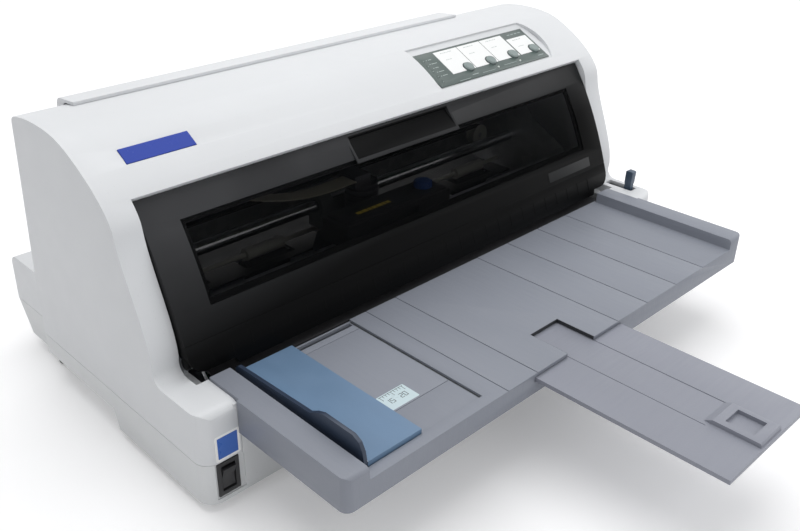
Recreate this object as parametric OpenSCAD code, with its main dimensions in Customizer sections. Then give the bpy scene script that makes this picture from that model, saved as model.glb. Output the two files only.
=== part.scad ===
// Flatbed dot matrix printer: arched case, smoked front cover, front paper table with a sliding
// extension, and the feed, carriage and tractor mechanism inside.
// X runs across the printer, Y runs from the front table to the back, Z is up. The origin is on
// the resting plane, under the middle of the whole object with the extension pulled out.

/* [Case] */
// Width of the case
case_w = 480; // [470:1:500]
// Depth from the front of the table to the back of the case
case_depth = 370; // [368:1:374]
// Height of the joint line between the lower and the upper case
seam_z = 37; // [36:0.5:38]
// Thickness of the plastic walls
wall = 3; // [2.5:0.1:3.2]
// Radius of the upright corners of the front blocks
corner_r = 11; // [8:1:13]

/* [Front cover] */
// Width of the front cover
cover_w = 440; // [438:1:440]

/* [Table] */
// How far the table extension stands out in front
ext_out = 132; // [126:1:134]
// Width of the table extension
ext_w = 95; // [80:1:100]
// Height of the table floor
floor_z = 67.5; // [67:0.1:68]

/* [Feed] */
// Radius of the feed rollers
roller_r = 8; // [7.5:0.1:8]
// Radius of the platen
platen_r = 12; // [11.5:0.1:12]

/* [Carriage] */
// Where the carriage stands across the printer
carriage_x = -5; // [-40:1:40]
// Radius of the carriage rod
rod_r = 5; // [4:0.5:5]

/* [Hidden] */
$fn = 48;

fit = 0.05;             // radial clearance of a shaft in its bore
gap = 0.4;              // clearance between casing parts
rear_reach = 155;       // back of the case behind the case's own y = 0 plane
overall_d = case_depth + ext_out;
home_y = overall_d / 2 - rear_reach;
half_w = case_w / 2;
table_front = rear_reach - case_depth;

block_in = 212.6;       // inner side of the two front blocks
block_front = -118;
block_top = 74;
base_z = 6.5;           // underside of the lower case
skirt_z = 21.5;         // underside of the raised side skirts
skirt_y = -8;           // the side skirts are raised behind this
front_wall_top = 50;

// Case side profile: a curved front face, a top and a sloping back
top_back = [68.5, 208.7];
front_foot = [-69.1, 82];
front_knee = [-45.7, 163.7];
front_brow = [7.7, 207.5];

// Front cover profile
cover_foot = [-84.4, 70.5];
cover_brow = [-33, 177.5];
cover_half = cover_w / 2;
cover_t = 2.6;
cover_bottom = 72.8;
pivot = [-73.5, 81.5];  // hinge line of the front cover
pivot_r = 2;
window_half = 192;
window_low = 115;
window_high = 158.5;
opening_half = cover_half + 1.2;

// Control panel, a flat pocket laid along the brow
panel_at = [-29, 186];
panel_tilt = 27;
panel_x0 = 52;
panel_len = 47;
overlay_x0 = 54;
overlay_x1 = 189;
overlay_len = 38;
button_s = 14.5;
button_xs = [97, 124.5, 153, 181];
button_r = 4.6;

// Rear ledge and tractor trough
ledge_half = 231;
ledge_top = 76;
trough_x0 = -190;
trough_x1 = 205;
trough_y0 = 94;
trough_y1 = 138;
rear_lid_x0 = -205;
rear_lid_x1 = 160;

// Mechanism
frame_x = 203;          // inner face of the side frames
frame_t = 2;
platen_at = [2, 56];
front_at = [-29, 60];
rear_at = [33, 60];
motor_at = [-68, 36];
tractor_at = [118, 56];
rod_at = [22, 99];
platen_teeth = 24;      // gears have a one millimetre module
idler_teeth = 12;
roller_teeth = 16;
pinion_teeth = 12;
feed_idler_teeth = 34;
gear_x = 206.4;
gear_w = 5;
pinch_r = 5;
pinch_gap = 0.3;
sprocket_r = 12.13;
tractor_pulley_r = 12;
belt_drum_r = 8;        // pulley of the rear roller that drives the tractor belt
belt_y = 36;
belt_w = 6;
belt_pulley_r = 8;
belt_half = 178;
belt_z = 102;
lever_x = 231;
lever_pivot = [-96, 40];
lever_lean = 2.5;
lever_slot_w = 8.8;

function bez(p, n) = [for (i = [0:n]) let (t = i / n, s = 1 - t)
    s*s*s*p[0] + 3*s*s*t*p[1] + 3*s*t*t*p[2] + t*t*t*p[3]];
function tail(v) = [for (i = [1:len(v) - 1]) v[i]];
function unit(v) = v / norm(v);
function left_normal(a, b) = let (d = unit(b - a)) [-d[1], d[0]];
// Moves a closed outline inward by d, corner by corner; the outline runs anticlockwise
function inset(pts, d) = let (n = len(pts)) [for (i = [0:n - 1])
    let (m0 = left_normal(pts[(i + n - 1) % n], pts[i]), m1 = left_normal(pts[i], pts[(i + 1) % n]),
         m = (m0 + m1) / (1 + m0 * m1)) pts[i] + d * m];
// Offsets an open line to its left by d
function beside(pts, d) = let (n = len(pts)) [for (i = [0:n - 1])
    let (m0 = left_normal(pts[max(i - 1, 0)], pts[max(i, 1)]),
         m1 = left_normal(pts[min(i, n - 2)], pts[min(i + 1, n - 1)]),
         m = (m0 + m1) / (1 + m0 * m1)) pts[i] + d * m];
function flip(v) = [for (i = [len(v) - 1:-1:0]) v[i]];
function arc(c, r, a0, a1, n) = [for (i = [0:n]) let (a = a0 + (a1 - a0) * i / n)
    c + r * [cos(a), sin(a)]];

// Curved front face from the foot up to the top back edge
face = concat(
    bez([front_foot, [-74.2, 101.6], [-47.8, 143.4], front_knee], 12),
    tail(bez([front_knee, [-43.9, 180.8], [-11.5, 200.6], front_brow], 12)),
    tail(bez([front_brow, [22.5, 212.8], [51.6, 212.9], top_back], 8)));
cover_line = bez([cover_foot, [-75.4, 99], [-61.5, 140], cover_brow], 16);
back_line = bez([[90, 36], [88.5, 90], [81, 130], [73.6, 199.5]], 6);
// The whole case outline, anticlockwise in the Y-Z plane
case_outline = concat(
    [[block_front, base_z], [88, base_z]], back_line,
    arc([67.2, 202.9], 6, 8, 70, 3),
    flip(face),
    tail(arc([-77.1, block_top + 8], 8, 0, -90, 4)),
    arc([block_front + 6, block_top - 6], 6, 90, 180, 4));

module placed() translate([0, home_y, 0]) children();
// Extrudes an outline drawn in the Y-Z plane from x0 to x1
module slab(x0, x1) translate([x0, 0, 0]) rotate([90, 0, 90]) linear_extrude(x1 - x0) children();
module rod(x0, x1, at, r) slab(x0, x1) translate(at) circle(r);
module both_sides() { children(); mirror([1, 0, 0]) children(); }
module block(x0, x1, y0, y1, z0, z1) translate([x0, y0, z0]) cube([x1 - x0, y1 - y0, z1 - z0]);
module tube(x0, x1, at, r, bore) difference() { rod(x0, x1, at, r); rod(x0 - 1, x1 + 1, at, bore); }

// Case
ledge_base_z = 10.5;
ledge_outline = concat([[80, ledge_base_z], [139, ledge_base_z], [rear_reach, seam_z], [153.2, 66]],
    arc([144.2, ledge_top - 9], 9, 10, 90, 5), [[80, ledge_top]]);

// Upright body with rounded front corners, moved inward by d
module corner_body(d) {
    block(d - half_w, half_w - d, block_front + corner_r, 100, 0, 220);
    block(corner_r - half_w, half_w - corner_r, block_front + d, 0, 0, 220);
    both_sides() translate([half_w - corner_r, block_front + corner_r, 0])
        cylinder(220, corner_r - d, corner_r - d);
}
module case_outer() intersection() {
    slab(-half_w, half_w) polygon(case_outline);
    corner_body(0);
}
module ledge_outer() slab(-ledge_half, ledge_half) polygon(ledge_outline);
module handhold(grow) both_sides() for (part = [[222, 81 + grow], [ledge_half, 95]])
    slab(part[0] - grow, half_w + 1)
        polygon([[skirt_y - 6 - grow, -1], [skirt_y + 2 - grow, skirt_z + grow],
            [part[1], skirt_z + grow], [part[1], -1]]);
module case_cavity() {
    difference() {
        intersection() {
            slab(wall - half_w, half_w - wall) polygon(inset(case_outline, wall));
            corner_body(wall);
        }
        handhold(wall);
    }
    slab(wall - ledge_half, ledge_half - wall) polygon(inset(ledge_outline, wall));
}
module below(z) intersection() { children(); block(-half_w, half_w, -130, 160, 0, z); }
module above(z) intersection() { children(); block(-half_w, half_w, -130, 160, z, 220); }

leg_z = 4;              // underside of the two rear legs
leg_r = 9.4;
// Place and seat height of each foot
foot_spots = [[-200, -98, base_z], [200, -98, base_z], [-221.5, 100, leg_z], [221.5, 100, leg_z]];
boss_spots = [for (x = [-185, 0, 185]) for (y = [-70, 70]) [x, y]];
switch_x = -223.4;
switch_z = 23.5;
switch_w = 14;
switch_h = 23;
switch_y = block_front + 1.2;   // floor of the shallow recess round the power switch

module lower_case() color([0.80, 0.81, 0.80]) placed() {
    difference() {
        union() {
            below(seam_z - gap / 2) { case_outer(); ledge_outer(); }
            for (p = foot_spots) if (p[2] == leg_z) translate(p) cylinder(8, leg_r - 0.6, leg_r);
        }
        case_cavity();
        handhold(0);
        // recess and seat of the power switch
        block(-232.6, -211.4, block_front - 1, switch_y, 9.5, seam_z);
        block(switch_x - switch_w / 2, switch_x + switch_w / 2, block_front - 1, block_front + 8,
              switch_z - switch_h / 2, switch_z + switch_h / 2);
        for (p = foot_spots) translate([p[0], p[1], p[2] - 1]) cylinder(2, 8.2, 8.2);
        vent_slots();
    }
    difference() {
        block(-block_in + gap, block_in - gap, block_front, block_front + wall, seam_z - 2, front_wall_top);
        block(-60, 60, block_front - 1, block_front + wall + 1, front_wall_top - 8, front_wall_top + 1);
    }
    for (p = boss_spots) translate([p[0], p[1], base_z + 1]) difference() {
        cylinder(plate_z - base_z - 1, 5, 5);
        translate([0, 0, wall - 0.5]) cylinder(10, screw_r + fit, screw_r + fit);
    }
}
// Cooling slots through the floor of the lower case
module vent_slots() for (x = [-150:12:150]) block(x, x + 4, 20, 60, base_z - 1, base_z + wall + 1);

// Upper case
lip_at = [-36.2, 180.2];
lip_along = [0.68, 0.733];
lip_in = [0.733, -0.68];
function lip(a, b) = lip_at + a * lip_along + b * lip_in;
badge_at = [-13.3, 197.2];
badge_tilt = 31.5;
badge_x = -187;
badge_w = 49;
badge_d = 11.8;

module panel_frame() translate([0, panel_at[0], panel_at[1]]) rotate([panel_tilt, 0, 0]) children();
module badge_frame() translate([badge_x, badge_at[0], badge_at[1]]) rotate([badge_tilt, 0, 0]) children();
module panel_pocket(depth) linear_extrude(depth) polygon(concat([[panel_x0, 0]],
    arc([155, panel_len / 2], 43, -33, 33, 8), [[panel_x0, panel_len]]));
light_spots = concat([for (i = [0:4]) [60, 7 + 6.2 * i]], [[126, 6.2], [154, 6.2]]);

module upper_case() color([0.84, 0.85, 0.86]) placed() {
    difference() {
        union() {
            difference() {
                above(seam_z + gap / 2) { case_outer(); ledge_outer(); }
                case_cavity();
            }
            // inner walls of the front blocks and floors under the cover's corners
            both_sides() {
                block(block_in, block_in + wall, block_front + 1, -66, seam_z + gap / 2, block_top - 1);
                block(block_in, 224, -90, -56, block_top - 9.5, block_top - 6.5);
                slab(opening_half, opening_half + 2.5) intersection() {
                    polygon(inset(case_outline, 1));
                    polygon([[-118, 66], [-50, 66], [-20, 150], [0, 185], [-15, 215], [-118, 215]]);
                }
            }
            slab(-opening_half, opening_half) polygon([lip(0, 1), lip(0, 11), lip(2.5, 11), lip(2.5, 1)]);
            // floor of the control panel pocket
            above(seam_z) intersection() {
                panel_frame() block(panel_x0 - 2, 200, -2, panel_len + 2, -2.2, 0);
                slab(0, 220) polygon(inset(case_outline, 1));
            }
            badge_frame()
                block(-badge_w / 2 - 2, badge_w / 2 + 2, -badge_d / 2 - 2, badge_d / 2 + 2, -4, -0.9);
            tractor_trough();
        }
        // middle of the front, between the blocks
        block(-block_in, block_in, -130, -62, seam_z - 1, block_top + 1);
        // opening for the front cover
        slab(-opening_half, opening_half)
            polygon([[-140, block_top], [-52, block_top], [-36, 150],
                lip(0, 12), lip(0, -12), [-140, 250]]);
        both_sides() block(block_in - 1, opening_half, -87, -60, block_top - 6.5, block_top + 10);
        panel_frame() panel_pocket(20);
        panel_frame() {
            for (x = button_xs) translate([x, button_s, -10]) cylinder(12, button_r + 0.3, button_r + 0.3);
            for (p = light_spots) translate([p[0], p[1], -10]) cylinder(12, 1.2, 1.2);
        }
        badge_frame()
            block(-badge_w / 2 - 0.3, badge_w / 2 + 0.3, -badge_d / 2 - 0.3, badge_d / 2 + 0.3, -0.9, 8);
        // slot of the paper thickness lever
        block(lever_x - lever_slot_w / 2, lever_x + lever_slot_w / 2, -103, -76, block_top - 6,
            block_top + 5);
        rear_openings();
    }
    both_sides() front_cover_arm();
    rod(block_in + 1, lever_x + 5, lever_pivot, 2.5);
    for (x = lug_xs) rear_lid_lug(x);
}
// Arm that carries the front cover's hinge pin. It comes from behind, clear of the swinging cover.
module front_cover_arm() slab(block_in + 0.4, block_in + 3.8) difference() {
    union() {
        translate(pivot) circle(4);
        polygon([pivot + [-1.2, -3.8], [-65.5, 71.5], [-63.5, block_top - 7.5],
                 [-57.5, block_top - 7.5], [-60, 78], pivot + [1.5, 3.7]]);
    }
    translate(pivot) circle(pivot_r + fit);
}
rear_pivot = [87, 123];
rear_pivot_r = 1.8;
lug_w = 3.5;
lug_xs = [rear_lid_x0 + 3, rear_lid_x1 - 3 - lug_w];
// Lug on the back wall for the rear cover's hinge pin
module rear_lid_lug(x) slab(x, x + lug_w) difference() {
    union() {
        translate(rear_pivot) circle(3.2);
        polygon([[80.5, 119], [rear_pivot[0], rear_pivot[1] - 3.2], [rear_pivot[0], rear_pivot[1] + 3.2],
            [80, 131]]);
    }
    translate(rear_pivot) circle(rear_pivot_r + fit);
}
module rear_openings() {
    block(rear_lid_x0 + 8, rear_lid_x1 - 12, 66, 100, 134, 200);
    block(trough_x0, trough_x1, 70, 96, 66, 102);
    block(trough_x0, 219, 70, 96, seam_z + 2.5, 74);
    block(trough_x0, trough_x1, trough_y0 - 8, trough_y1, seam_z + 2.5, 100);
    // power inlet and interface sockets
    block(-223, -195, 148, 160, 44, 66);
    block(40, 102, 148, 160, 45, 60);
    block(120, 134, 148, 160, 46, 58);
    for (x = [168:7:225]) block(x, x + 3, 60, 100, 140, 190);
    tractor_bores();
}
module tractor_trough() {
    difference() {
        block(trough_x0 - wall, trough_x1 + wall, 84, trough_y1 + wall, seam_z + gap / 2, ledge_top - 0.5);
        block(trough_x0, trough_x1, 70, trough_y1, seam_z + 2.5, 90);
    }
}
tractor_shaft_r = 3;
lid_pivot = [133.5, 74];
lid_pin_r = 1.2;
module tractor_bores() {
    rod(trough_x0 - 5, trough_x1 + 5, tractor_at, tractor_shaft_r + fit);
    rod(trough_x0 - 5, trough_x1 + 5, lid_pivot, lid_pin_r + fit);
}

// Door over the back opening, hinged along its lower edge
lid_line = concat(arc([74.6, 205.4], 6.4, 96, 14, 4), [[82.2, 195], [86.5, 160], [91, 130], [91.6, 119.8]]);
module rear_cover() color([0.84, 0.85, 0.86]) placed() {
    outer = concat([[56, 213.2]], lid_line);
    difference() {
        slab(rear_lid_x0, rear_lid_x1) polygon(concat(outer, flip(beside(outer, -2.2))));
        // notches round the lugs
        for (x = lug_xs) block(x - 0.5, x + lug_w + 0.5, 84, 95, 119, 131);
    }
    for (x = [rear_lid_x0, rear_lid_x1 - 2.5]) slab(x, x + 2.5)
        polygon(concat(outer, [[86.5, 119.8], [84.4, 127], [82.4, 142], [78.6, 170], [74.8, 198],
                               [73.8, 206], [69.5, 209.8], [56, 211.4]]));
    // pins from the end walls to the lugs on the case
    rod(rear_lid_x0 + 1, lug_xs[0] + lug_w, rear_pivot, rear_pivot_r);
    rod(lug_xs[1], rear_lid_x1 - 1, rear_pivot, rear_pivot_r);
}

module tractor_cover() color([0.80, 0.81, 0.80]) placed() {
    x0 = trough_x0 + 0.5;
    x1 = trough_x1 - 0.5;
    difference() {
        union() {
            block(x0, x1, 97, 136.5, 73.8, ledge_top);
            rod(x0, x1, lid_pivot, 2);
        }
        for (x = [-150:30:160]) block(x, x + 16, 104, 108, 70, 80);
    }
    rod(trough_x0 - 2.5, x0 + 1, lid_pivot, lid_pin_r);
    rod(x1 - 1, trough_x1 + 2.5, lid_pivot, lid_pin_r);
}

// Front cover
cover_edge_r = 10;
grip_x0 = -50;
grip_x1 = 52;
grip_depth = 3.2;
grip_len = 23;
crease_z = 94.6;

// Front view of the cover: rounded lower corners, and a lower edge that clears the table rails
module cover_front_view() translate([0, 50, 0]) rotate([90, 0, 0]) linear_extrude(200)
    polygon(concat(
        arc([cover_edge_r - cover_half, 77 + cover_edge_r], cover_edge_r, 180, 270, 5),
        [[-189, 77], [-187, cover_bottom], [198, cover_bottom], [200, 77]],
        arc([cover_half - cover_edge_r, 77 + cover_edge_r], cover_edge_r, 270, 360, 5),
        [[cover_half, 200], [-cover_half, 200]]));
module cover_skin(depth0, depth1)
    polygon(concat(beside(cover_line, -depth0), flip(beside(cover_line, -depth1))));
module window_area(grow)
    block(-window_half - grow, window_half + grow, -120, 0, window_low - grow, window_high + grow);

module front_cover() color([0.13, 0.14, 0.15]) placed() {
    intersection() {
        cover_front_view();
        // the top edge stops short of the lip
        slab(-half_w, half_w) polygon([lip(-gap, -8), lip(-200, -8), lip(-200, 80), lip(-gap, 80)]);
        difference() {
            union() {
                slab(-cover_half, cover_half) cover_skin(0, cover_t);
                both_sides() slab(cover_half - cover_t, cover_half) cover_skin(0, 11);
                slab(grip_x0 - 2, grip_x1 + 2) cover_grip(2.2);
            }
            slab(grip_x0, grip_x1) cover_grip(0);
            // crease across the lower part of the cover
            intersection() {
                block(-half_w, half_w, -120, 0, crease_z, crease_z + 0.7);
                slab(-half_w, half_w) cover_skin(-1, 0.4);
            }
            window_area(0);
            intersection() { window_area(3); slab(-half_w, half_w) cover_skin(-1, 1.4); }
        }
    }
    both_sides() rod(block_in - 0.2, cover_half - 1, pivot, pivot_r);
    both_sides() slab(cover_half - cover_t, cover_half - 0.2) translate(pivot) circle(4);
}
// A point s below the top edge of the cover and d behind its face
cover_up = [0.68, 0.733];
function on_cover(s, d) = cover_brow - s * cover_up + d * [cover_up[1], -cover_up[0]];
// Finger recess under the top edge of the cover, or the shell behind it
module cover_grip(grow) polygon([
    on_cover(3.5 - grow, grow > 0 ? 1 : -3), on_cover(3.5 - grow, grip_depth + grow),
    on_cover(7, grip_depth + grow), on_cover(grip_len, grow), on_cover(grip_len, grow > 0 ? 1 : -3)]);
module cover_window() color([0.2, 0.21, 0.23, 0.5]) placed() intersection() {
    window_area(2.8);
    slab(-half_w, half_w) cover_skin(0.1, 1.35);
}

// Control panel
module panel_overlay() color([0.30, 0.35, 0.35]) placed() panel_frame() difference() {
    block(overlay_x0, overlay_x1, 2, 2 + overlay_len, 0, 0.8);
    for (x = button_xs) translate([x, button_s, -1]) cylinder(3, button_r + 0.4, button_r + 0.4);
    for (p = light_spots) translate([p[0], p[1], -1]) cylinder(3, 1.2, 1.2);
}
board_top = -7.4;
module panel_board() color([0.12, 0.36, 0.2]) placed() panel_frame() {
    block(56, 190, 2, 40, board_top - 1.6, board_top);
    for (x = button_xs) block(x - 3, x + 3, button_s - 3, button_s + 3, board_top - 0.2, board_top + 1.2);
    for (x = [58, 188]) for (s = [5, 36]) translate([x, s, board_top - 0.2]) cylinder(5.4, 1.6, 1.6);
    block(84, 110, 27, 34, board_top - 5.6, board_top - 1.5);
}
module button(i) color([0.80, 0.83, 0.84]) placed() panel_frame() translate([button_xs[i], button_s, 0]) {
    translate([0, 0, -5]) cylinder(6.9, button_r, button_r);
    translate([0, 0, 1.9]) cylinder(0.8, button_r, button_r - 0.9);
    translate([0, 0, -4.9]) cylinder(1.5, button_r + 1, button_r + 1);
}
module button_1() button(0);
module button_2() button(1);
module button_3() button(2);
module button_4() button(3);
module panel_lights() color([0.55, 0.75, 0.45]) placed() panel_frame()
    for (p = light_spots) translate([p[0], p[1], board_top]) {
        cylinder(0.2 - board_top, 1.1, 1.1);
        translate([0, 0, 0.2 - board_top]) cylinder(0.9, 1.1, 0.7);
    }

// Trim
module badge_plate() color([0.30, 0.38, 0.80]) placed() badge_frame()
    block(-badge_w / 2, badge_w / 2, -badge_d / 2, badge_d / 2, -0.9, 0.6);

// Power switch
rocker_pivot = [switch_y + 3.5, switch_z];
rocker_w = 9;
module power_switch() color([0.07, 0.07, 0.08]) placed() {
    x0 = switch_x - switch_w / 2;
    x1 = switch_x + switch_w / 2;
    z0 = switch_z - switch_h / 2;
    z1 = switch_z + switch_h / 2;
    difference() {
        union() {
            block(x0 - 0.9, x1 + 0.9, switch_y - 0.9, switch_y, z0 - 0.9, z1 + 0.9);
            block(x0 + 0.1, x1 - 0.1, switch_y - 0.2, switch_y + 16, z0 + 0.1, z1 - 0.1);
        }
        block(switch_x - rocker_w / 2 - 0.5, switch_x + rocker_w / 2 + 0.5, switch_y - 2,
            switch_y + 9, z0 + 2, z1 - 2);
        rod(x0 + 0.8, x1 - 0.8, rocker_pivot, 1.5 + fit);
    }
    for (x = [-226, -220.8])
        block(x, x + 0.8, switch_y + 15, switch_y + 22, switch_z - 3, switch_z + 3);
}
module switch_rocker() color([0.12, 0.12, 0.13]) placed() {
    slab(switch_x - rocker_w / 2, switch_x + rocker_w / 2) translate([switch_y, switch_z])
        polygon([[-0.4, -7.8], [4.5, -7], [6.3, 0], [4.5, 7], [-2.8, 7.8], [-0.2, 0.4]]);
    rod(switch_x - switch_w / 2 + 1.2, switch_x + switch_w / 2 - 1.2, rocker_pivot, 1.5);
}

// Paper thickness lever
module thickness_lever() color([0.36, 0.44, 0.52]) placed()
    translate([lever_x, lever_pivot[0], lever_pivot[1]])
    rotate([lever_lean, 0, 0]) {
        slab(-2.2, 2.2) difference() {
            union() { circle(6); polygon([[-4, 0], [-3, 44], [3, 44], [4, 0]]); }
            circle(2.5 + fit);
        }
        slab(-3, 3) polygon(concat(arc([-2.2, 49.5], 1.2, 180, 90, 3), arc([2.2, 49.5], 1.2, 90, 0, 3),
            [[3.2, 39], [-3.2, 39]]));
    }

// Front table
rail_left_in = -197;
rail_out = -214;         // outer side of the left rail; the right one mirrors it
rail_t = 2.4;
rail_right_in = 196;
rail_top = 76;
table_low = 52;
table_back = -86;
recess_x1 = -96;
recess_z = floor_z - 1.5;
ext_x = -6;
ext_top = floor_z - 2.9;
ext_t = 3;
ext_back = -178;
notch_y = -184;
notch_x0 = -20;
notch_x1 = 10;
rail_end_r = 3;
rail_corner_r = 6;      // upright outer corners of the rails

// Side view of a rail: rounded at the front, flat to the back
module rail_view(back) polygon(concat([[back, table_low], [back, rail_top]],
    arc([table_front + rail_end_r, rail_top - rail_end_r], rail_end_r, 90, 180, 6),
    [[table_front, table_low]]));
module front_table() color([0.56, 0.57, 0.61]) placed() {
    difference() {
        union() {
            slab(rail_out, rail_left_in) rail_view(block_front - gap);
            slab(-block_in + gap, rail_left_in) rail_view(-88);
            slab(rail_right_in, -rail_out) rail_view(block_front - gap);
            slab(rail_right_in, block_in - gap) rail_view(-88);
            block(rail_left_in - 1, rail_right_in + 1, table_front, table_back, floor_z - 4, floor_z);
            block(rail_left_in - 1, rail_right_in + 1, table_front, table_front + 2.5, table_low, floor_z);
        }
        // rounded outer corners of the rails
        both_sides() difference() {
            block(-rail_out - rail_corner_r, -rail_out + 1, table_front - 1, table_front + rail_corner_r,
                table_low - 1, rail_top + 1);
            translate([-rail_out - rail_corner_r, table_front + rail_corner_r, table_low - 2])
                cylinder(40, rail_corner_r, rail_corner_r);
        }
        // hollow undersides of the rails
        for (x = [[rail_out, rail_left_in], [rail_right_in, -rail_out]]) slab(x[0] + rail_t, x[1] - rail_t)
            polygon([[table_front + rail_t + 1, 0], [-80, 0], [-80, rail_top - rail_t],
                [table_front + rail_t + 1, rail_top - rail_t]]);
        block(rail_left_in + 0.4, recess_x1, table_front + 8, table_back + 1, recess_z, floor_z + 1);
        // slot of the edge guide's peg, and lines across the recess
        block(-192, -98, guide_peg_y - 2, guide_peg_y + 2, recess_z - 5, recess_z + 1);
        for (y = [-181, -98])
            block(rail_left_in + 2, recess_x1 - 2, y, y + 0.8, recess_z - 0.4, recess_z + 1);
        block(recess_x1 + 2, rail_right_in - 2, table_front + 2.5, table_back + 1, floor_z - 5,
            floor_z - 2.4);
        block(notch_x0, notch_x1, table_front - 1, notch_y, ext_top - 1, floor_z + 1);
        block(ext_x - ext_w / 2 - 0.6, ext_x + ext_w / 2 + 0.6, table_front - 1, table_front + 4,
              ext_top - ext_t - 0.6, ext_top + 0.5);
        floor_grooves();
    }
    // runners under the floor that carry the extension
    for (side = [-1, 1]) for (y = [table_front + 2, -140]) {
        x0 = ext_x + side * (ext_w / 2 + 0.6);
        block(min(x0, x0 + side * 2.4), max(x0, x0 + side * 2.4), y, y + 40, ext_top - ext_t - 3,
            floor_z - 2);
        block(min(x0 - side * 4, x0 + side * 2.4), max(x0 - side * 4, x0 + side * 2.4), y, y + 40,
              ext_top - ext_t - 3, ext_top - ext_t - 0.4);
    }
}
// Fine lines along the table floor
module floor_grooves() for (x = [-81, -52, 38, 75, 114, 153])
    block(x, x + 0.8, table_front - 1, table_back + 1, floor_z - 0.5, floor_z + 1);

guide_x0 = -193;
guide_x1 = -148.3;
guide_wall_in = -190.4;
guide_front = -206.4;
guide_back = -87.7;
guide_peg_y = -89.5;
module edge_guide() color([0.38, 0.50, 0.65]) placed() {
    difference() {
        block(guide_x0, guide_x1, guide_front, guide_back, recess_z + 0.3, 70.5);
        block(guide_wall_in + 0.5, guide_x1 - 3, guide_front + 3, -92, recess_z - 1, 68.7);
    }
    slab(guide_x0, guide_wall_in) polygon([[guide_front, recess_z + 0.3], [guide_back, recess_z + 0.3],
        [guide_back, 74], [-90.5, 76.5], [-160, 79.5], [-166, 83], [-172, 85], [-197, 85],
        [-202, 82.5], [-205, 77], [guide_front, 70]]);
    block(-187, -172, guide_peg_y - 1.7, guide_peg_y + 1.7, recess_z - 3.8, 69);
}
handle_x0 = -15.5;
handle_x1 = 9.3;
module table_extension() color([0.56, 0.57, 0.61]) placed() {
    front = table_front - ext_out;
    x0 = ext_x - ext_w / 2;
    difference() {
        block(x0, x0 + ext_w, front, ext_back, ext_top - ext_t, ext_top);
        for (x = [notch_x0 + 0.5, notch_x1 - 0.5])
            block(x, x + 0.6, front + 34, ext_back + 1, ext_top - 0.4, ext_top + 1);
    }
    // raised frame of the pull handle, sloped at the back, round a shallow pocket
    difference() {
        slab(handle_x0, handle_x1) polygon([[front + 1.5, ext_top - 1], [front + 37, ext_top - 1],
            [front + 37, ext_top], [front + 32, ext_top + 2.8], [front + 2.5, ext_top + 2.8],
            [front + 1.5, ext_top + 1.8]]);
        block(handle_x0 + 5, handle_x1 - 4, front + 8.5, front + 26.5, ext_top, ext_top + 4);
    }
}

// Feet, screws, sockets
module rubber_feet() color([0.1, 0.1, 0.1]) placed() for (p = foot_spots) translate([p[0], p[1], 0]) {
    cylinder(1, 7, 8);
    translate([0, 0, 1]) cylinder(p[2], 8, 8);
}
screw_r = 1.5;
module screw() { cylinder(1.8, 3.6, 3.0); translate([0, 0, -3.4]) cylinder(4.4, screw_r, screw_r); }
module case_screws() color([0.7, 0.7, 0.72]) placed() {
    for (p = boss_spots) translate([p[0], p[1], 13.5]) difference() {
        screw();
        block(-0.4, 0.4, -2.6, 2.6, 1, 3);
        block(-2.6, 2.6, -0.4, 0.4, 1, 3);
    }
}
module power_inlet() color([0.09, 0.09, 0.1]) placed() {
    difference() {
        block(-222.8, -195.2, 130, 153.6, 44.2, 65.8);
        block(-219, -199, 136, 160, 48, 62);
    }
    for (x = [-214, -209, -204]) block(x - 0.7, x + 0.7, 135, 149, x == -209 ? 52 : 55,
        x == -209 ? 56 : 59);
}
module interface_ports() color([0.68, 0.69, 0.71]) placed() {
    difference() {
        block(40.2, 101.8, 141.3, 155, 45.2, 59.8);
        block(44, 98, 146, 160, 48.6, 56.4);
    }
    block(48, 94, 145, 152, 51.6, 53.4);
    difference() {
        block(120.2, 133.8, 141.3, 154.6, 46.2, 57.8);
        block(122, 132, 144, 160, 48, 56);
    }
}

// Chassis
plate_z = 12;
plate_t = 1.5;
frame_view = [[-90, plate_z + plate_t], [84, plate_z + plate_t], [84, 72], [74, 132], [58, 140],
              [10, 140], [-8, 122], [-42, 104], [-54, 82], [-74, 57], [-92, 56]];
module base_plate() color([0.70, 0.72, 0.74]) placed() difference() {
    block(-208, 208, -92, 84, plate_z, plate_z + plate_t);
    for (p = boss_spots) translate([p[0], p[1], 5]) cylinder(20, 1.6, 1.6);
    for (x = [-150:60:150]) block(x - 14, x + 14, -60, -34, plate_z - 1, plate_z + 3);
}
module frame_cuts() {
    translate(rod_at) circle(rod_r + fit);
    translate(platen_at) circle(4 + fit);
    translate(front_at) circle(3 + fit);
    translate(rear_at) circle(3 + fit);
    translate([front_at[0], front_at[1] + roller_r + pinch_r + pinch_gap]) circle(2 + fit);
    translate([rear_at[0], rear_at[1] + roller_r + pinch_r + pinch_gap]) circle(2 + fit);
}
module side_frame(x0, x1, foot_x0, foot_x1) {
    slab(x0, x1) difference() {
        polygon(frame_view);
        frame_cuts();
        if (x0 > 0) translate(motor_at) circle(8);
        polygon([[-12, 20], [36, 20], [30, 36], [-6, 36]]);
    }
    block(foot_x0, foot_x1, -60, -40, plate_z + plate_t, plate_z + plate_t + frame_t);
    block(foot_x0, foot_x1, 60, 80, plate_z + plate_t, plate_z + plate_t + frame_t);
}
module left_frame() color([0.66, 0.68, 0.70]) placed()
    side_frame(-frame_x - frame_t, -frame_x, -frame_x - 1, -frame_x + 12);
module right_frame() color([0.66, 0.68, 0.70]) placed() {
    side_frame(frame_x, frame_x + frame_t, frame_x - 12, frame_x + 1);
    for (at = [front_idler_at, rear_idler_at, feed_idler_at])
        rod(frame_x + 1, gear_x + gear_w + 1, at, 2.5);
}
module front_beam() color([0.72, 0.73, 0.75]) placed() {
    block(-frame_x, frame_x, -39.5, -24, 88.2, 89.6);
    block(-frame_x, frame_x, -39.5, -38, 79, 89);
}
beam_y = 52;
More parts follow.
